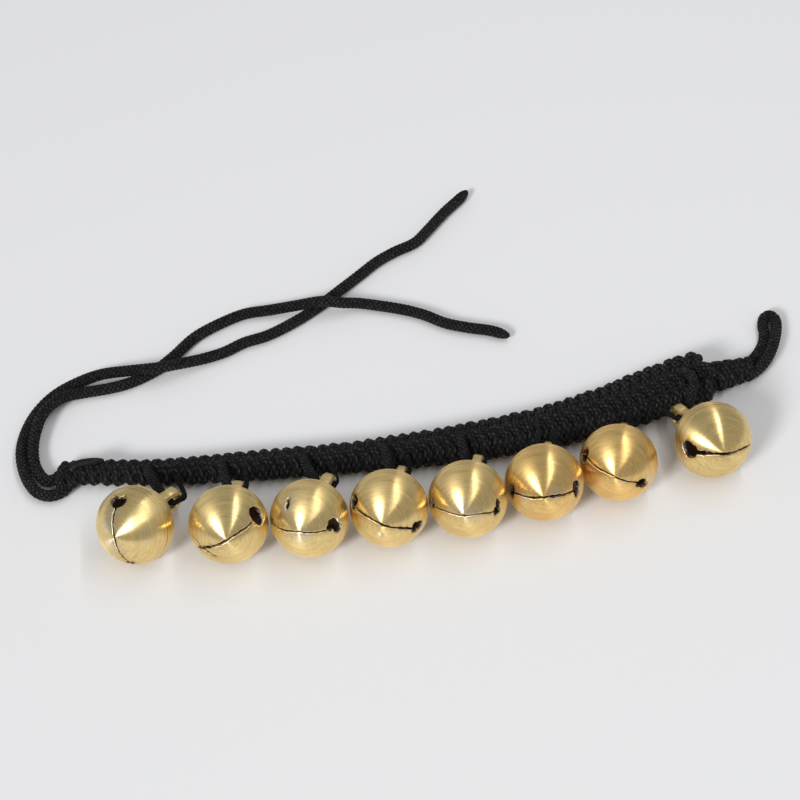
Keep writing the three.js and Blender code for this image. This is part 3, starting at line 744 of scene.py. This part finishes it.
# %% [markdown]
# Brass that was turned on a lathe carries fine rings round the axis it was turned about. They stretch every
# highlight into a fan that narrows to the pole, which is what makes these bells look spun. In Cycles this is
# anisotropy along a tangent from the UV map, turned a quarter so that the highlight runs across the rings. The
# rings themselves are noise laid on a drum, whose two ends meet, so no seam shows. Named values in the mesh say
# where the metal is stained, scuffed to silver or warmer than the rest.

# %% Turned brass
RING_DRUM = (2.2, 46)
ARC_DRUM = (1.5, 18)
RING_SHARE = 0.18
ARC_SHARE = 0.14
STREAK_BASE = 0.82
CLOUD_SCALE = 130
SPECK_SCALE = 950
FLAKE_SCALE = 1500
STREAK_RANGE = (0.36, 0.64)
CLOUD_RANGE = (0.2, 0.8)
SPECK_RANGE = (0.63, 0.71)
FLAKE_RANGE = (0.44, 0.56)
CLEAN_SPECKS = 0.2
CLOUD_WARMTH = 0.3
STAIN_ROUGH = 0.2
STAIN_DEPTH = 0.8


def add_mark(tree, name):
    """A named value of the mesh."""
    node = tree.nodes.new("ShaderNodeAttribute")
    node.attribute_name = name
    return node.outputs["Fac"]


def add_scale(tree, colour, value):
    """A colour made lighter or darker by a value socket."""
    node = tree.nodes.new("ShaderNodeVectorMath")
    node.operation = "SCALE"
    tree.links.new(colour, node.inputs[0])
    tree.links.new(value, node.inputs["Scale"])
    return node.outputs["Vector"]


def drum_vector(tree, around, upwards):
    """The UV map rolled into a drum: turns become a circle and rows become its height."""
    turn, row = uv_parts(tree)
    angle = times(tree, turn, 2 * np.pi)
    drum = tree.nodes.new("ShaderNodeCombineXYZ")
    tree.links.new(times(tree, add_math(tree, "COSINE", angle), around), drum.inputs["X"])
    tree.links.new(times(tree, add_math(tree, "SINE", angle), around), drum.inputs["Y"])
    tree.links.new(times(tree, row, upwards), drum.inputs["Z"])
    return drum.outputs["Vector"]


def turning_group():
    """Brass between bright and warm, streaked by fine rings and broad arcs, then stained where grime or specks
    say so and silver where it is scuffed. Stains are rougher, and rings stand higher than worn places."""
    group, given, made = new_group(
        "turned_brass", {"Bright": (0.8, 0.6, 0.25), "Warm": (0.85, 0.55, 0.2), "Stain": (0.3, 0.17, 0.05),
                         "Silver": (0.78, 0.75, 0.70), "Smooth": 0.25, "Rough": 0.45}, EFFECT_OUTPUTS)
    rings = add_noise(group, drum_vector(group, *RING_DRUM), 1.0, 2, 0.6)
    arcs = add_noise(group, drum_vector(group, *ARC_DRUM), 1.0, 3, 0.6)
    place = object_place(group)
    cloud = add_noise(group, place, CLOUD_SCALE, 4)
    specks = add_noise(group, place, SPECK_SCALE, 2)
    flakes = add_noise(group, place, FLAKE_SCALE, 3, 0.6)
    grime = add_mark(group, "grime")
    scuffed = add_mark(group, "scuff")
    spots = times(group, add_range(group, specks, *SPECK_RANGE), plus(group, grime, CLEAN_SPECKS))
    dirty = times(group, grime, add_range(group, cloud, *CLOUD_RANGE))
    stain = add_math(group, "MINIMUM", add_math(group, "MAXIMUM", spots, dirty), 1)
    silver = times(group, scuffed, add_range(group, flakes, *FLAKE_RANGE))
    warmth = plus(group, add_mark(group, "warmth"), times(group, cloud, CLOUD_WARMTH))
    fine = times(group, add_range(group, rings, *STREAK_RANGE), RING_SHARE)
    broad = times(group, add_range(group, arcs, *STREAK_RANGE), ARC_SHARE)
    base = add_mix(group, warmth, given["Bright"], given["Warm"])
    streaked = add_scale(group, base, plus(group, plus(group, fine, broad), STREAK_BASE))
    dulled = add_mix(group, stain, streaked, given["Stain"])
    group.links.new(add_mix(group, silver, dulled, given["Silver"]), made["Colour"])
    span = minus(group, given["Rough"], given["Smooth"])
    even = plus(group, given["Smooth"], times(group, cloud, span))
    group.links.new(plus(group, even, times(group, stain, STAIN_ROUGH)), made["Roughness"])
    worn = plus(group, times(group, stain, STAIN_DEPTH), times(group, scuffed, flakes))
    group.links.new(minus(group, plus(group, rings, arcs), worn), made["Height"])
    return group


TURNING = turning_group()
print("nodes in the turning effect:", len(TURNING.nodes))

# %% [markdown]
# The shells, the cast lugs and the pellets are all metal that was worked or left rough, so one function makes their
# finishes; the cut edges and insides of the shells are darkened in it as painted shade. Only the shells are
# brushed, which stretches the highlights.

# %% Brass finishes
WARM_TINT = np.array([1.03, 0.84, 0.62])
QUARTER_TURN = 0.25


def brass_material(name, bright, stain, smooth, rough, brushed, bump_height, metal=1):
    """Brass with turning rings; brushed sets how far the rings stretch the highlights."""
    values = {"Bright": bright, "Warm": tuple(WARM_TINT * bright), "Stain": stain, "Smooth": smooth, "Rough": rough}
    material, surface = effect_material(name, TURNING, values, bump_height)
    tangent = material.node_tree.nodes.new("ShaderNodeTangent")
    tangent.direction_type = "UV_MAP"
    tangent.uv_map = "lay"
    material.node_tree.links.new(tangent.outputs["Tangent"], surface.inputs["Tangent"])
    surface.inputs["Metallic"].default_value = metal
    surface.inputs["Anisotropic"].default_value = brushed
    surface.inputs["Anisotropic Rotation"].default_value = QUARTER_TURN
    return material


BRASS = brass_material("turned_brass", (0.90, 0.70, 0.32), (0.16, 0.09, 0.035), 0.27, 0.38, 0.9, 0.02)
# The cut edges are darkened as painted shade in the slot and holes.
SHADED_CUT_EDGE = brass_material("shaded_cut_edge", (0.30, 0.23, 0.14), (0.07, 0.045, 0.025), 0.4, 0.6, 0.0, 0.06)
# The inside is a dull dark brown that is painted shade inside the bell.
SHADED_INSIDE = brass_material("painted_shade_inside", (0.42, 0.29, 0.22), (0.12, 0.08, 0.06), 0.6, 0.8, 0.0, 0.06, 0)
CAST_BRASS = brass_material("cast_brass", (0.92, 0.73, 0.35), (0.26, 0.16, 0.06), 0.3, 0.45, 0.0, 0.06)
PELLET_IRON = brass_material("pellet_iron", (0.20, 0.19, 0.18), (0.08, 0.05, 0.03), 0.5, 0.7, 0.0, 0.08)
print("metal finishes:", [m.name for m in (BRASS, SHADED_CUT_EDGE, SHADED_INSIDE, CAST_BRASS, PELLET_IRON)])

# %% [markdown]
# A bell is two thin shells. The bowl has a sound slot across its pole, rough as if sawn by hand, with a hole at one
# end or both. A boolean cut would leave hard, even edges, so the outline is a formula instead: how far a point lies
# from the nearest edge, measured along and across the slot. Every bell has its own numbers: no two are alike.

# %% Slots, holes, cuts and scuffs
BELL_RADIUS = 11.81
SLOT_END = np.radians(58) * BELL_RADIUS
# Each slot: half width, its taper to the right, and a wider place (along, amount); holes: along, across, radius,
# height over width, raggedness, notch on the outer side; cuts: along, across, half length, half width, angle;
# scuffs: along, across, radius, strength; drops: along, across, radius.
SLOTS = [
    dict(half=0.20, taper=0.3, wide=(6, 0.5),
         holes=[(-12.2, 0, 1.3, 1.2, 0.1, 0), (11.9, 0, 2.5, 1.15, 0.04, 0.65)],
         scuffs=[(4, -1.5, 2.8, 1.0), (-3, -1.5, 2.8, 0.9), (8, -0.5, 2.2, 0.8), (6, 5.5, 0.9, 0.8),
                 (1.5, 10.5, 1.1, 0.8), (-4, 9, 1.0, 0.8)]),
    dict(half=0.34, taper=-0.2, wide=(-6.8, 0.7), holes=[(13.0, -0.3, 2.55, 1.2, 0.05, 0)],
         scuffs=[(13.0, 0, 3.0, 0.5)], cuts=[(-9.4, 0.5, 4.9, 0.30, 58)]),
    dict(half=0.19, taper=0.0, wide=(7, 0.5),
         holes=[(-12.6, -0.6, 1.0, 1.2, 0.1, 0), (11.6, -0.9, 2.35, 1.05, 0.24, 0)],
         scuffs=[(-6, -8.4, 2.6, 1.0), (0.5, 1.6, 2.6, 0.9), (14, -1, 2.4, 0.6)],
         cuts=[(-6.1, -8.4, 1.9, 0.62, 63)]),
    dict(half=0.26, taper=0.1, wide=(6.5, 0.9),
         holes=[(-13.0, -0.6, 1.9, 1.3, 0.12, 0), (12.5, -0.4, 2.0, 1.15, 0.14, 0)],
         scuffs=[(13, 1.5, 2.4, 0.4)], drops=[(0.9, 4.4, 0.8)]),
    dict(half=0.17, taper=0.2, wide=(0, 0.2),
         holes=[(-12.4, -0.6, 1.2, 1.2, 0.1, 0), (11.8, -0.6, 1.6, 1.35, 0.22, 0.3)],
         scuffs=[(-0.5, -2.4, 3.0, 0.6), (1.0, -0.8, 2.6, 0.8), (5, 0.6, 1.6, 0.6)]),
    dict(half=0.34, taper=0.1, wide=(3, 0.4),
         holes=[(-12.0, -0.2, 1.6, 1.5, 0.1, 0), (12.2, -0.1, 1.9, 1.4, 0.08, 0)],
         scuffs=[(-6.5, 0.8, 1.6, 0.9), (4, -0.8, 1.8, 0.9), (13.5, 0, 2.0, 0.6)]),
    dict(half=0.18, taper=0.1, wide=(8, 0.6),
         holes=[(-13.6, 0.3, 1.8, 1.4, 0.12, 0), (10.3, 0.3, 2.15, 0.85, 0.16, 0)],
         scuffs=[(-8, 2, 2.0, 0.5), (12.6, -1, 2.0, 0.9), (4, 0.4, 1.5, 0.4)]),
    dict(half=0.42, taper=-0.55, wide=(-6, 0.3), holes=[(-11.6, -0.2, 2.6, 1.1, 0.10, 0)],
         scuffs=[(-14, 0, 2.0, 0.8)]),
]
print("end holes:", sum(len(spec["holes"]) for spec in SLOTS), "cuts:", sum("cuts" in spec for spec in SLOTS))

# %% Outline of the sound slot
SLOT_SEED = 1.7
# Waves: height, rate per millimetre (for a hole, count round it) and share of the seed.
SLOT_WAVER = [(0.16, 0.55, 1), (0.05, 1.9, 2)]
SLOT_UNEVEN = [(0.22, 0.8, 1), (0.16, 3.1, 3)]
CUT_WAVER = [(0.12, 1.4, 1)]
CUT_UNEVEN = [(0.3, 2.6, 1)]
HOLE_UNEVEN = [(1.0, 2, 1), (0.8, 3, 2), (0.4, 5, 1), (0.2, 9, 3)]
WIDE_REACH = 1.6
CUT_FULL = 1.1
CUT_NARROWING = 0.6
NOTCH_ANGLE = 0.42


def waves(x, seed, parts, wave=np.sin):
    """A sum of waves: height times the sine, or another wave, of rate times x plus a share of the seed."""
    return sum(height * wave(rate * x + share * seed) for height, rate, share in parts)


def hole_distance(x, y, hole, seed):
    """Distance to a hole's outline: an oval whose radius varies with the angle round it. A notch bites into the
    side away from the slot's middle."""
    along, aside, radius, tall, ragged, notch = hole
    turn = np.arctan2((y - aside) / tall, np.sign(along) * (x - along))
    uneven = 1 + ragged * waves(turn, seed, HOLE_UNEVEN, np.cos) - notch * np.exp(-(turn / NOTCH_ANGLE) ** 2)
    return np.hypot(x - along, (y - aside) / tall) - radius * uneven


def cut_distance(x, y, cut, seed):
    """Distance to a slanting cut: a thin wavering lens about its own line."""
    along, aside, half_length, half_width, degrees = cut
    angle = np.radians(degrees)
    u = (x - along) * np.cos(angle) + (y - aside) * np.sin(angle)
    v = (y - aside) * np.cos(angle) - (x - along) * np.sin(angle)
    width = half_width * (CUT_FULL - CUT_NARROWING * (u / half_length) ** 2 + waves(u, seed, CUT_UNEVEN))
    return np.maximum(np.abs(v - waves(u, seed, CUT_WAVER)) - width, np.abs(u) - half_length)


def slot_distance(x, y, n):
    """Distance in millimetres to the nearest outline, negative inside: the least of a wavering slit along x, its
    end holes and any cuts."""
    spec = SLOTS[n - 1]
    seed = SLOT_SEED * n
    place, amount = spec["wide"]
    wide = 1 + spec["taper"] * x / SLOT_END + amount * np.exp(-((x - place) / WIDE_REACH) ** 2)
    half = spec["half"] * wide * (1 + waves(x, seed, SLOT_UNEVEN))
    slit = np.maximum(np.abs(y - waves(x, seed, SLOT_WAVER)) - half, np.abs(x) - SLOT_END)
    holes = [hole_distance(x, y, hole, seed) for hole in spec["holes"]]
    cuts = [cut_distance(x, y, cut, seed) for cut in spec.get("cuts", [])]
    return np.minimum.reduce([slit, *holes, *cuts])


print("slot of bell 1, from its middle line to the edge:", round(-float(slot_distance(0.0, 0.0, 1)), 2), "mm")

# %% [markdown]
# Both shells are round about the pole, so a section turned about it gives their form: a dome a little more pointed
# than half a ball. The bowl ends in a low ridge, and both edges are rolled in where they meet, which draws the dark
# line of the seam. Blender's Screw modifier could turn the section, but the points beside the slot have to move. So
# it is worked out once as a table, and every point of a bowl looks its radius up there.

# %% Section of the bowl
BOWL_DEPTH = 11.4
DOME_POWER = 1.11
DOME_BASE = -0.75
RIDGE_LOW = -0.35
RIDGE_PROUD = 0.1
RIDGE_POWER = 0.6
SEAM_LOW = 0.45
BOWL_EDGE = 0.1
DOME_STEPS = 300
RIDGE_STEPS = 60


def rolled_edge(away, depth):
    """How far a shell is rolled in at a distance away from its edge: its depth, dying away over as much."""
    return depth * np.exp(-away / depth)


def bowl_profile():
    """Polar angle and distance from the centre of the bell, from the pole to the seam: a dome whose width goes
    with sin^power and depth with cos^power, then a low ridge under the seam."""
    t = np.linspace(0, np.pi / 2, DOME_STEPS)
    ridge = np.linspace(DOME_BASE, SEAM_LOW, RIDGE_STEPS)[1:]
    proud = RIDGE_PROUD * np.clip((ridge - DOME_BASE) / (RIDGE_LOW - DOME_BASE), 0, 1) ** RIDGE_POWER
    dome = DOME_BASE - (BOWL_DEPTH + DOME_BASE) * np.maximum(np.cos(t), 0) ** DOME_POWER
    width = np.concatenate([BELL_RADIUS * np.sin(t) ** DOME_POWER,
                            BELL_RADIUS + proud - rolled_edge(SEAM_LOW - ridge, BOWL_EDGE)])
    height = np.concatenate([dome, ridge])
    return np.arctan2(width, -height), np.hypot(width, height)


PROFILE_POLAR, PROFILE_RADIUS = bowl_profile()
SHOULDER = PROFILE_POLAR[DOME_STEPS - 1]
print("a bell is", round(2 * float(np.max(PROFILE_RADIUS * np.sin(PROFILE_POLAR))), 2), "mm across its ridge")

# %% [markdown]
# The bowl is a grid of rings about the pole. Squares inside the outline are left out, and the points at its edge
# are moved onto it. Solidify then gives the wall, the cut edge and the inside, both darkened as painted shade. Dirt
# gathers along the slot and above the ridge, and wear shows as silver, so the mesh carries both as named values for
# the finish.

# %% Grid of a bowl
BOWL_ROWS = 60
RIDGE_ROWS = 14
BOWL_COLUMNS = 240
CROWDING = 0.5
EDGE_PASSES = 3
EDGE_STEP = 0.02
LEAST_SLOPE = 0.3
BELL_ROLL = np.radians([115, 29, 9, -12, 4, 7, -14, -4])


def sphere(polar, turn):
    """Unit vectors from the angle off the pole, which points down, and the turn round it."""
    return np.stack(np.broadcast_arrays(
        np.sin(polar) * np.cos(turn), np.sin(polar) * np.sin(turn), -np.cos(polar)), -1)


def onto_outline(x, y, n):
    """Points moved to the nearest outline: a few steps of distance over slope, against the slope."""
    for _ in range(EDGE_PASSES):
        here = slot_distance(x, y, n)
        slope_x = (slot_distance(x + EDGE_STEP, y, n) - here) / EDGE_STEP
        slope_y = (slot_distance(x, y + EDGE_STEP, n) - here) / EDGE_STEP
        steep = np.maximum(slope_x**2 + slope_y**2, LEAST_SLOPE)
        x, y = x - here * slope_x / steep, y - here * slope_y / steep
    return x, y


def bowl_grid(n):
    """Polar runs from the pole to the seam, turn goes round and is crowded towards the slot. Slot coordinates x and
    y are arcs along and across the slot's great circle. Gives the angles, directions and coordinates of the
    points, and the squares that are kept with their UV."""
    roll = BELL_ROLL[n - 1]
    polar = np.concatenate([np.linspace(0, SHOULDER, BOWL_ROWS, endpoint=False),
                            np.linspace(SHOULDER, PROFILE_POLAR[-1], RIDGE_ROWS)])[:, None]
    even = np.linspace(0, 2 * np.pi, BOWL_COLUMNS, endpoint=False)
    turn = even - roll - CROWDING / 2 * np.sin(2 * even)
    direction = sphere(polar, turn)
    slot = np.array([np.cos(roll), -np.sin(roll), 0])
    beside = np.array([np.sin(roll), np.cos(roll), 0])
    x = BELL_RADIUS * np.arctan2(direction @ slot, -direction[..., 2])
    y = BELL_RADIUS * np.arcsin(np.clip(direction @ beside, -1, 1))
    squares, corners = grid_squares(len(polar), BOWL_COLUMNS)
    kept = slot_distance(x, y, n).ravel()[squares].mean(1) > 0
    edge = np.zeros(x.size, bool)
    edge[np.intersect1d(squares[kept], squares[~kept])] = True
    edge = edge.reshape(x.shape)
    x[edge], y[edge] = onto_outline(x[edge], y[edge], n)
    lengthwise, sideways = x[edge] / BELL_RADIUS, y[edge] / BELL_RADIUS
    direction[edge] = (np.cos(sideways) * np.sin(lengthwise))[:, None] * slot + np.sin(sideways)[:, None] * beside
    direction[edge, 2] = -np.cos(sideways) * np.cos(lengthwise)
    return polar, turn, direction, x, y, squares[kept], corners[kept][:, :, ::-1] / (BOWL_COLUMNS, len(polar))


print("squares left in bowl 1:", len(bowl_grid(1)[5]), "of", (BOWL_ROWS + RIDGE_ROWS - 1) * BOWL_COLUMNS)

# %% Bowls
SHELL_WALL = 1.6
WOBBLE = 0.002
FINE_WOBBLE = 0.0015
LIP_DEPTH = 0.12
LIP_REACH = 0.35
DROP_HEIGHT = 0.35
DROP_SCUFF = 4
SLOT_GRIME_REACH = 0.45
SLOT_GRIME = (0.6, 0.4)
GRIME_RATES = (2.3, 3.1)
RIDGE_GRIME = 0.7
RIDGE_GRIME_REACH = 0.026
BELL_WARMTH = [0.0, 0.0, 0.05, 0.1, 0.15, 0.55, 0.6, 0.1]


def spread(x, y, places):
    """The greatest of several soft round spots: strength times a bell curve of distance over radius."""
    value = np.zeros(x.shape)
    for along, aside, radius, strength in places:
        value = np.maximum(value, strength * np.exp(-((x - along) ** 2 + (y - aside) ** 2) / radius**2))
    return value


def brass_marks(n, grime, scuff):
    """The named values that the brass finish reads."""
    return {"grime": grime, "scuff": scuff, "warmth": np.full(grime.shape, BELL_WARMTH[n - 1])}


def add_wall(piece):
    """Gives a shell its wall inwards, with darker finishes on the cut edge and inside that are painted shade."""
    wall = piece.modifiers.new("wall", "SOLIDIFY")
    wall.thickness = SHELL_WALL * MM
    wall.offset = -1
    wall.material_offset = 2
    wall.material_offset_rim = 1


def bowl_piece(n, centre, axes):
    """Points are radius(polar angle) times a direction. The radius is the section's, a little out of round, less a
    lip that is pressed in along the slot, plus any drops of metal."""
    polar, turn, direction, x, y, squares, uv = bowl_grid(n)
    spec = SLOTS[n - 1]
    distance = slot_distance(x, y, n)
    wobble = (1 + WOBBLE * np.cos(2 * turn + n) * np.sin(polar)
              + FINE_WOBBLE * np.cos(3 * turn + 2 * n) * np.sin(2 * polar))
    lip = LIP_DEPTH * np.clip(1 - distance / LIP_REACH, 0, 1) ** 2
    drops = spread(x, y, [(*drop, DROP_HEIGHT) for drop in spec.get("drops", [])])
    angle = np.arccos(np.clip(-direction[..., 2], -1, 1))
    radius = np.interp(angle, PROFILE_POLAR, PROFILE_RADIUS) * wobble - lip + drops
    scuff = np.maximum(spread(x, y, spec["scuffs"]), np.minimum(drops * DROP_SCUFF, 1))
    patches = np.sin(GRIME_RATES[0] * x + n) * np.sin(GRIME_RATES[1] * y + 2 * n)
    patchy = SLOT_GRIME[0] + SLOT_GRIME[1] * patches
    grime = np.maximum(np.exp(-np.clip(distance, 0, None) / SLOT_GRIME_REACH) * patchy,
                       RIDGE_GRIME * np.exp(-((angle - SHOULDER) / RIDGE_GRIME_REACH) ** 2))
    piece = mesh_piece(f"bowl_{n}", centre + (radius[..., None] * direction) @ axes, squares, uv,
                       brass_marks(n, grime, scuff), [BRASS, SHADED_CUT_EDGE, SHADED_INSIDE])
    add_wall(piece)
    return piece


# %% [markdown]
# The crown is the plain half of the bell, so it is the same kind of dome without a slot. Its pole could be closed
# by a cap, but rings that shrink to a point are simpler and keep the fan of the brushing.

# %% Crowns
CROWN_HEIGHT = 11.6
CROWN_ROWS = 48
CROWN_COLUMNS = 128
CROWN_CROWDING = 1.7
CROWN_EDGE = 0.3
CROWN_GRIME = 0.8
CROWN_GRIME_REACH = 0.4
SEAM_HIGH = 0.75


def crown_piece(n, centre, axes):
    """The same kind of dome turned about the crown's axis, with its edge rolled in a little at the seam. Rows are
    crowded towards the seam."""
    share = (1 - np.linspace(1, 0, CROWN_ROWS) ** CROWN_CROWDING)[:, None]
    turn = np.linspace(0, 2 * np.pi, CROWN_COLUMNS, endpoint=False)
    t = share * np.pi / 2
    above = (CROWN_HEIGHT - SEAM_HIGH) * np.maximum(np.cos(t), 0) ** DOME_POWER
    wobble = 1 + WOBBLE * np.cos(2 * turn + n) * np.sin(share * np.pi)
    width = (BELL_RADIUS * np.sin(t) ** DOME_POWER - rolled_edge(above, CROWN_EDGE)) * wobble
    local = np.stack(np.broadcast_arrays(width * np.cos(turn), width * np.sin(turn), SEAM_HIGH + above), -1)
    squares, corners = grid_squares(CROWN_ROWS, CROWN_COLUMNS)
    grime = CROWN_GRIME * np.exp(-above / CROWN_GRIME_REACH) * np.ones_like(turn)
    piece = mesh_piece(f"crown_{n}", centre + local @ axes, squares[:, ::-1],
                       corners[:, ::-1, ::-1] / (CROWN_COLUMNS, CROWN_ROWS), brass_marks(n, grime, 0 * grime),
                       [BRASS, SHADED_CUT_EDGE, SHADED_INSIDE])
    add_wall(piece)
    return piece


# %% [markdown]
# The lug that the hanger goes through is a small cast strap, bent over like a staple and sunk in the crown. A torus
# would be too round: its section is a rectangle with soft corners, and it is never quite even.

# %% Lugs
LUG_EYE_RADIUS = 2.2
LUG_STRAP = 1.9
LUG_SINK = 1.2
LUG_SIZE = [1.05, 0.85, 1.1, 0.85, 1.0, 0.72, 0.72, 1.0]
LUG_STEPS = 64
LUG_SIDES = 32
LUG_CORNERS = 0.6
LUG_UNEVEN = [(0.05, 1.3, 1), (0.03, 3.1, 2)]
LUG_GRIME = 0.7
LUG_GRIME_REACH = 3


def squarish(value):
    """A sine or cosine made flatter at its crests, so that a circle becomes a rectangle with soft corners."""
    return np.sign(value) * np.abs(value) ** LUG_CORNERS


def lug_piece(n, centre, eye, lug, pin):
    """A cast strap: a rounded rectangle carried along two straight legs and the half circle between them."""
    size = LUG_SIZE[n - 1]
    middle = size * (LUG_EYE_RADIUS + LUG_STRAP / 2)
    leg = np.linalg.norm(eye - centre) - (CROWN_HEIGHT - LUG_SINK)
    total = 2 * leg + np.pi * middle
    s = np.linspace(0, total, LUG_STEPS)
    bend = np.clip((s - leg) / middle, 0, np.pi)
    out = np.where(s < leg, s - leg, np.where(s > total - leg, total - leg - s, 0)) + middle * np.sin(bend)
    path = eye + out[:, None] * lug + (middle * np.cos(bend))[:, None] * np.cross(pin, lug)
    inward = np.cross(unit(np.gradient(path, axis=0)), pin)
    angle = np.linspace(0, 2 * np.pi, LUG_SIDES, endpoint=False)
    closing = np.where((s == 0) | (s == total), 0.0, 1.0)
    scale = ((size + waves(s, n, LUG_UNEVEN)) * closing)[:, None]
    wide = LUG_WIDTH / 2 * squarish(np.cos(angle)) * scale
    thick = LUG_STRAP / 2 * squarish(np.sin(angle)) * scale
    points = path[:, None, :] + wide[..., None] * pin + thick[..., None] * inward[:, None, :]
    squares, corners = grid_squares(LUG_STEPS, LUG_SIDES)
    grime = LUG_GRIME * np.clip(1 - np.minimum(s, total - s) / LUG_GRIME_REACH, 0, 1)[:, None] * np.ones(LUG_SIDES)
    return mesh_piece(f"lug_{n}", points, squares, corners / (LUG_STEPS, LUG_SIDES),
                      brass_marks(n, grime, 0 * grime), [CAST_BRASS])


for n in BELLS:
    centre, eye, lug, pin, axes = bell_axes(n)
    bowl = bowl_piece(n, centre, axes)
    crown = crown_piece(n, centre, axes)
    strap = lug_piece(n, centre, eye, lug, pin)
    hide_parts(f"bell_{n}_bowl")
    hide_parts(f"bell_{n}_crown")
    for piece in (bowl, crown, strap):
        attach(piece, f"bell_{n}")

# %% [markdown]
# A loose iron pellet lies in each bell and makes its sound. It shows only through the holes, so a ball with a
# slightly uneven skin is enough. The frame's box of the pellet says where its middle is.

# %% Pellets
PELLET_RADIUS = 2.9
PELLET_MEAN = 0.985
PELLET_UNEVEN = 0.012
PELLET_GRIME = 0.5
PELLET_ROWS = 24
PELLET_COLUMNS = 36


def pellet_piece(n):
    """A ball whose radius varies a little with both angles, like a rough casting."""
    centre = np.mean(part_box(f"bell_{n}_pellet"), axis=0) / MM
    polar = np.linspace(0, np.pi, PELLET_ROWS)[:, None]
    turn = np.linspace(0, 2 * np.pi, PELLET_COLUMNS, endpoint=False)
    uneven = PELLET_UNEVEN * np.sin(3 * turn + n) * np.sin(polar) ** 2 * np.sin(4 * polar)
    radius = PELLET_RADIUS * (PELLET_MEAN + uneven)
    squares, corners = grid_squares(PELLET_ROWS, PELLET_COLUMNS)
    return mesh_piece(f"pellet_{n}", centre + radius[..., None] * sphere(polar, turn), squares,
                      corners / PELLET_COLUMNS, {"grime": np.full(radius.shape, PELLET_GRIME)}, [PELLET_IRON])


for n in BELLS:
    ball = pellet_piece(n)
    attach(ball, f"pellet_{n}")
    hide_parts(f"bell_{n}_pellet")
print("pellets:", BELL_COUNT, "each", 2 * PELLET_RADIUS, "mm across")

# %% [markdown]
# The bells lie on a pale table. Brass shows what it reflects, so the floor matters as much as the lights: it is a
# plain sheet that takes the soft shadows and fills the lower halves of the bells with white.

# %% Floor
FLOOR_DROP = 0.2 * MM
FLOOR_SIZE = 3.0


def floor_material():
    """A matt near-white."""
    material = bpy.data.materials.new("pale_table")
    material.use_nodes = True
    surface = material.node_tree.nodes["Principled BSDF"]
    surface.inputs["Base Color"].default_value = (0.88, 0.88, 0.885, 1)
    surface.inputs["Roughness"].default_value = 0.9
    surface.inputs["Specular IOR Level"].default_value = 0.1
    return material


half = FLOOR_SIZE / 2
floor_mesh = bpy.data.meshes.new("floor")
floor_mesh.from_pydata([(-half, -half, -FLOOR_DROP), (half, -half, -FLOOR_DROP), (half, half, -FLOOR_DROP),
                        (-half, half, -FLOOR_DROP)], [], [(0, 1, 2, 3)])
floor_mesh.materials.append(floor_material())
floor = bpy.data.objects.new("floor", floor_mesh)
bpy.context.scene.collection.objects.link(floor)
print("floor:", FLOOR_SIZE, "m square")

# %% [markdown]
# A window at the front left gives the soft shadows. A thin lamp strip overhead draws the narrow fans of light on
# the brass, which a large light would smear. The room all round is one pale colour, so nothing reflects black.

# %% Light
WINDOW_PLACE = (-2.08, -2.20, 2.00)
WINDOW_SIZE = 0.8
WINDOW_POWER = 78
LAMP_PLACE = (0.27, -0.02, 0.86)
LAMP_LENGTH = 1.2
LAMP_WIDTH = 0.02
LAMP_POWER = 2.2
ROOM_COLOUR = (0.36, 0.365, 0.375, 1)


def soft_light(name, place, size, power):
    """A square area light at a place in metres, turned to the origin."""
    data = bpy.data.lights.new(name, "AREA")
    data.size = size
    data.energy = power
    light = bpy.data.objects.new(name, data)
    bpy.context.scene.collection.objects.link(light)
    light.location = place
    light.rotation_euler = (-Vector(place)).to_track_quat("-Z", "Y").to_euler()
    return light


soft_light("window", WINDOW_PLACE, WINDOW_SIZE, WINDOW_POWER)
lamp = soft_light("lamp", LAMP_PLACE, LAMP_LENGTH, LAMP_POWER)
lamp.data.shape = "RECTANGLE"
lamp.data.size_y = LAMP_WIDTH
world = bpy.data.worlds.new("room")
world.use_nodes = True
world.node_tree.nodes["Background"].inputs["Color"].default_value = ROOM_COLOUR
world.node_tree.nodes["Background"].inputs["Strength"].default_value = 1.0
bpy.context.scene.world = world
print("lights:", [light.name for light in bpy.data.lights])
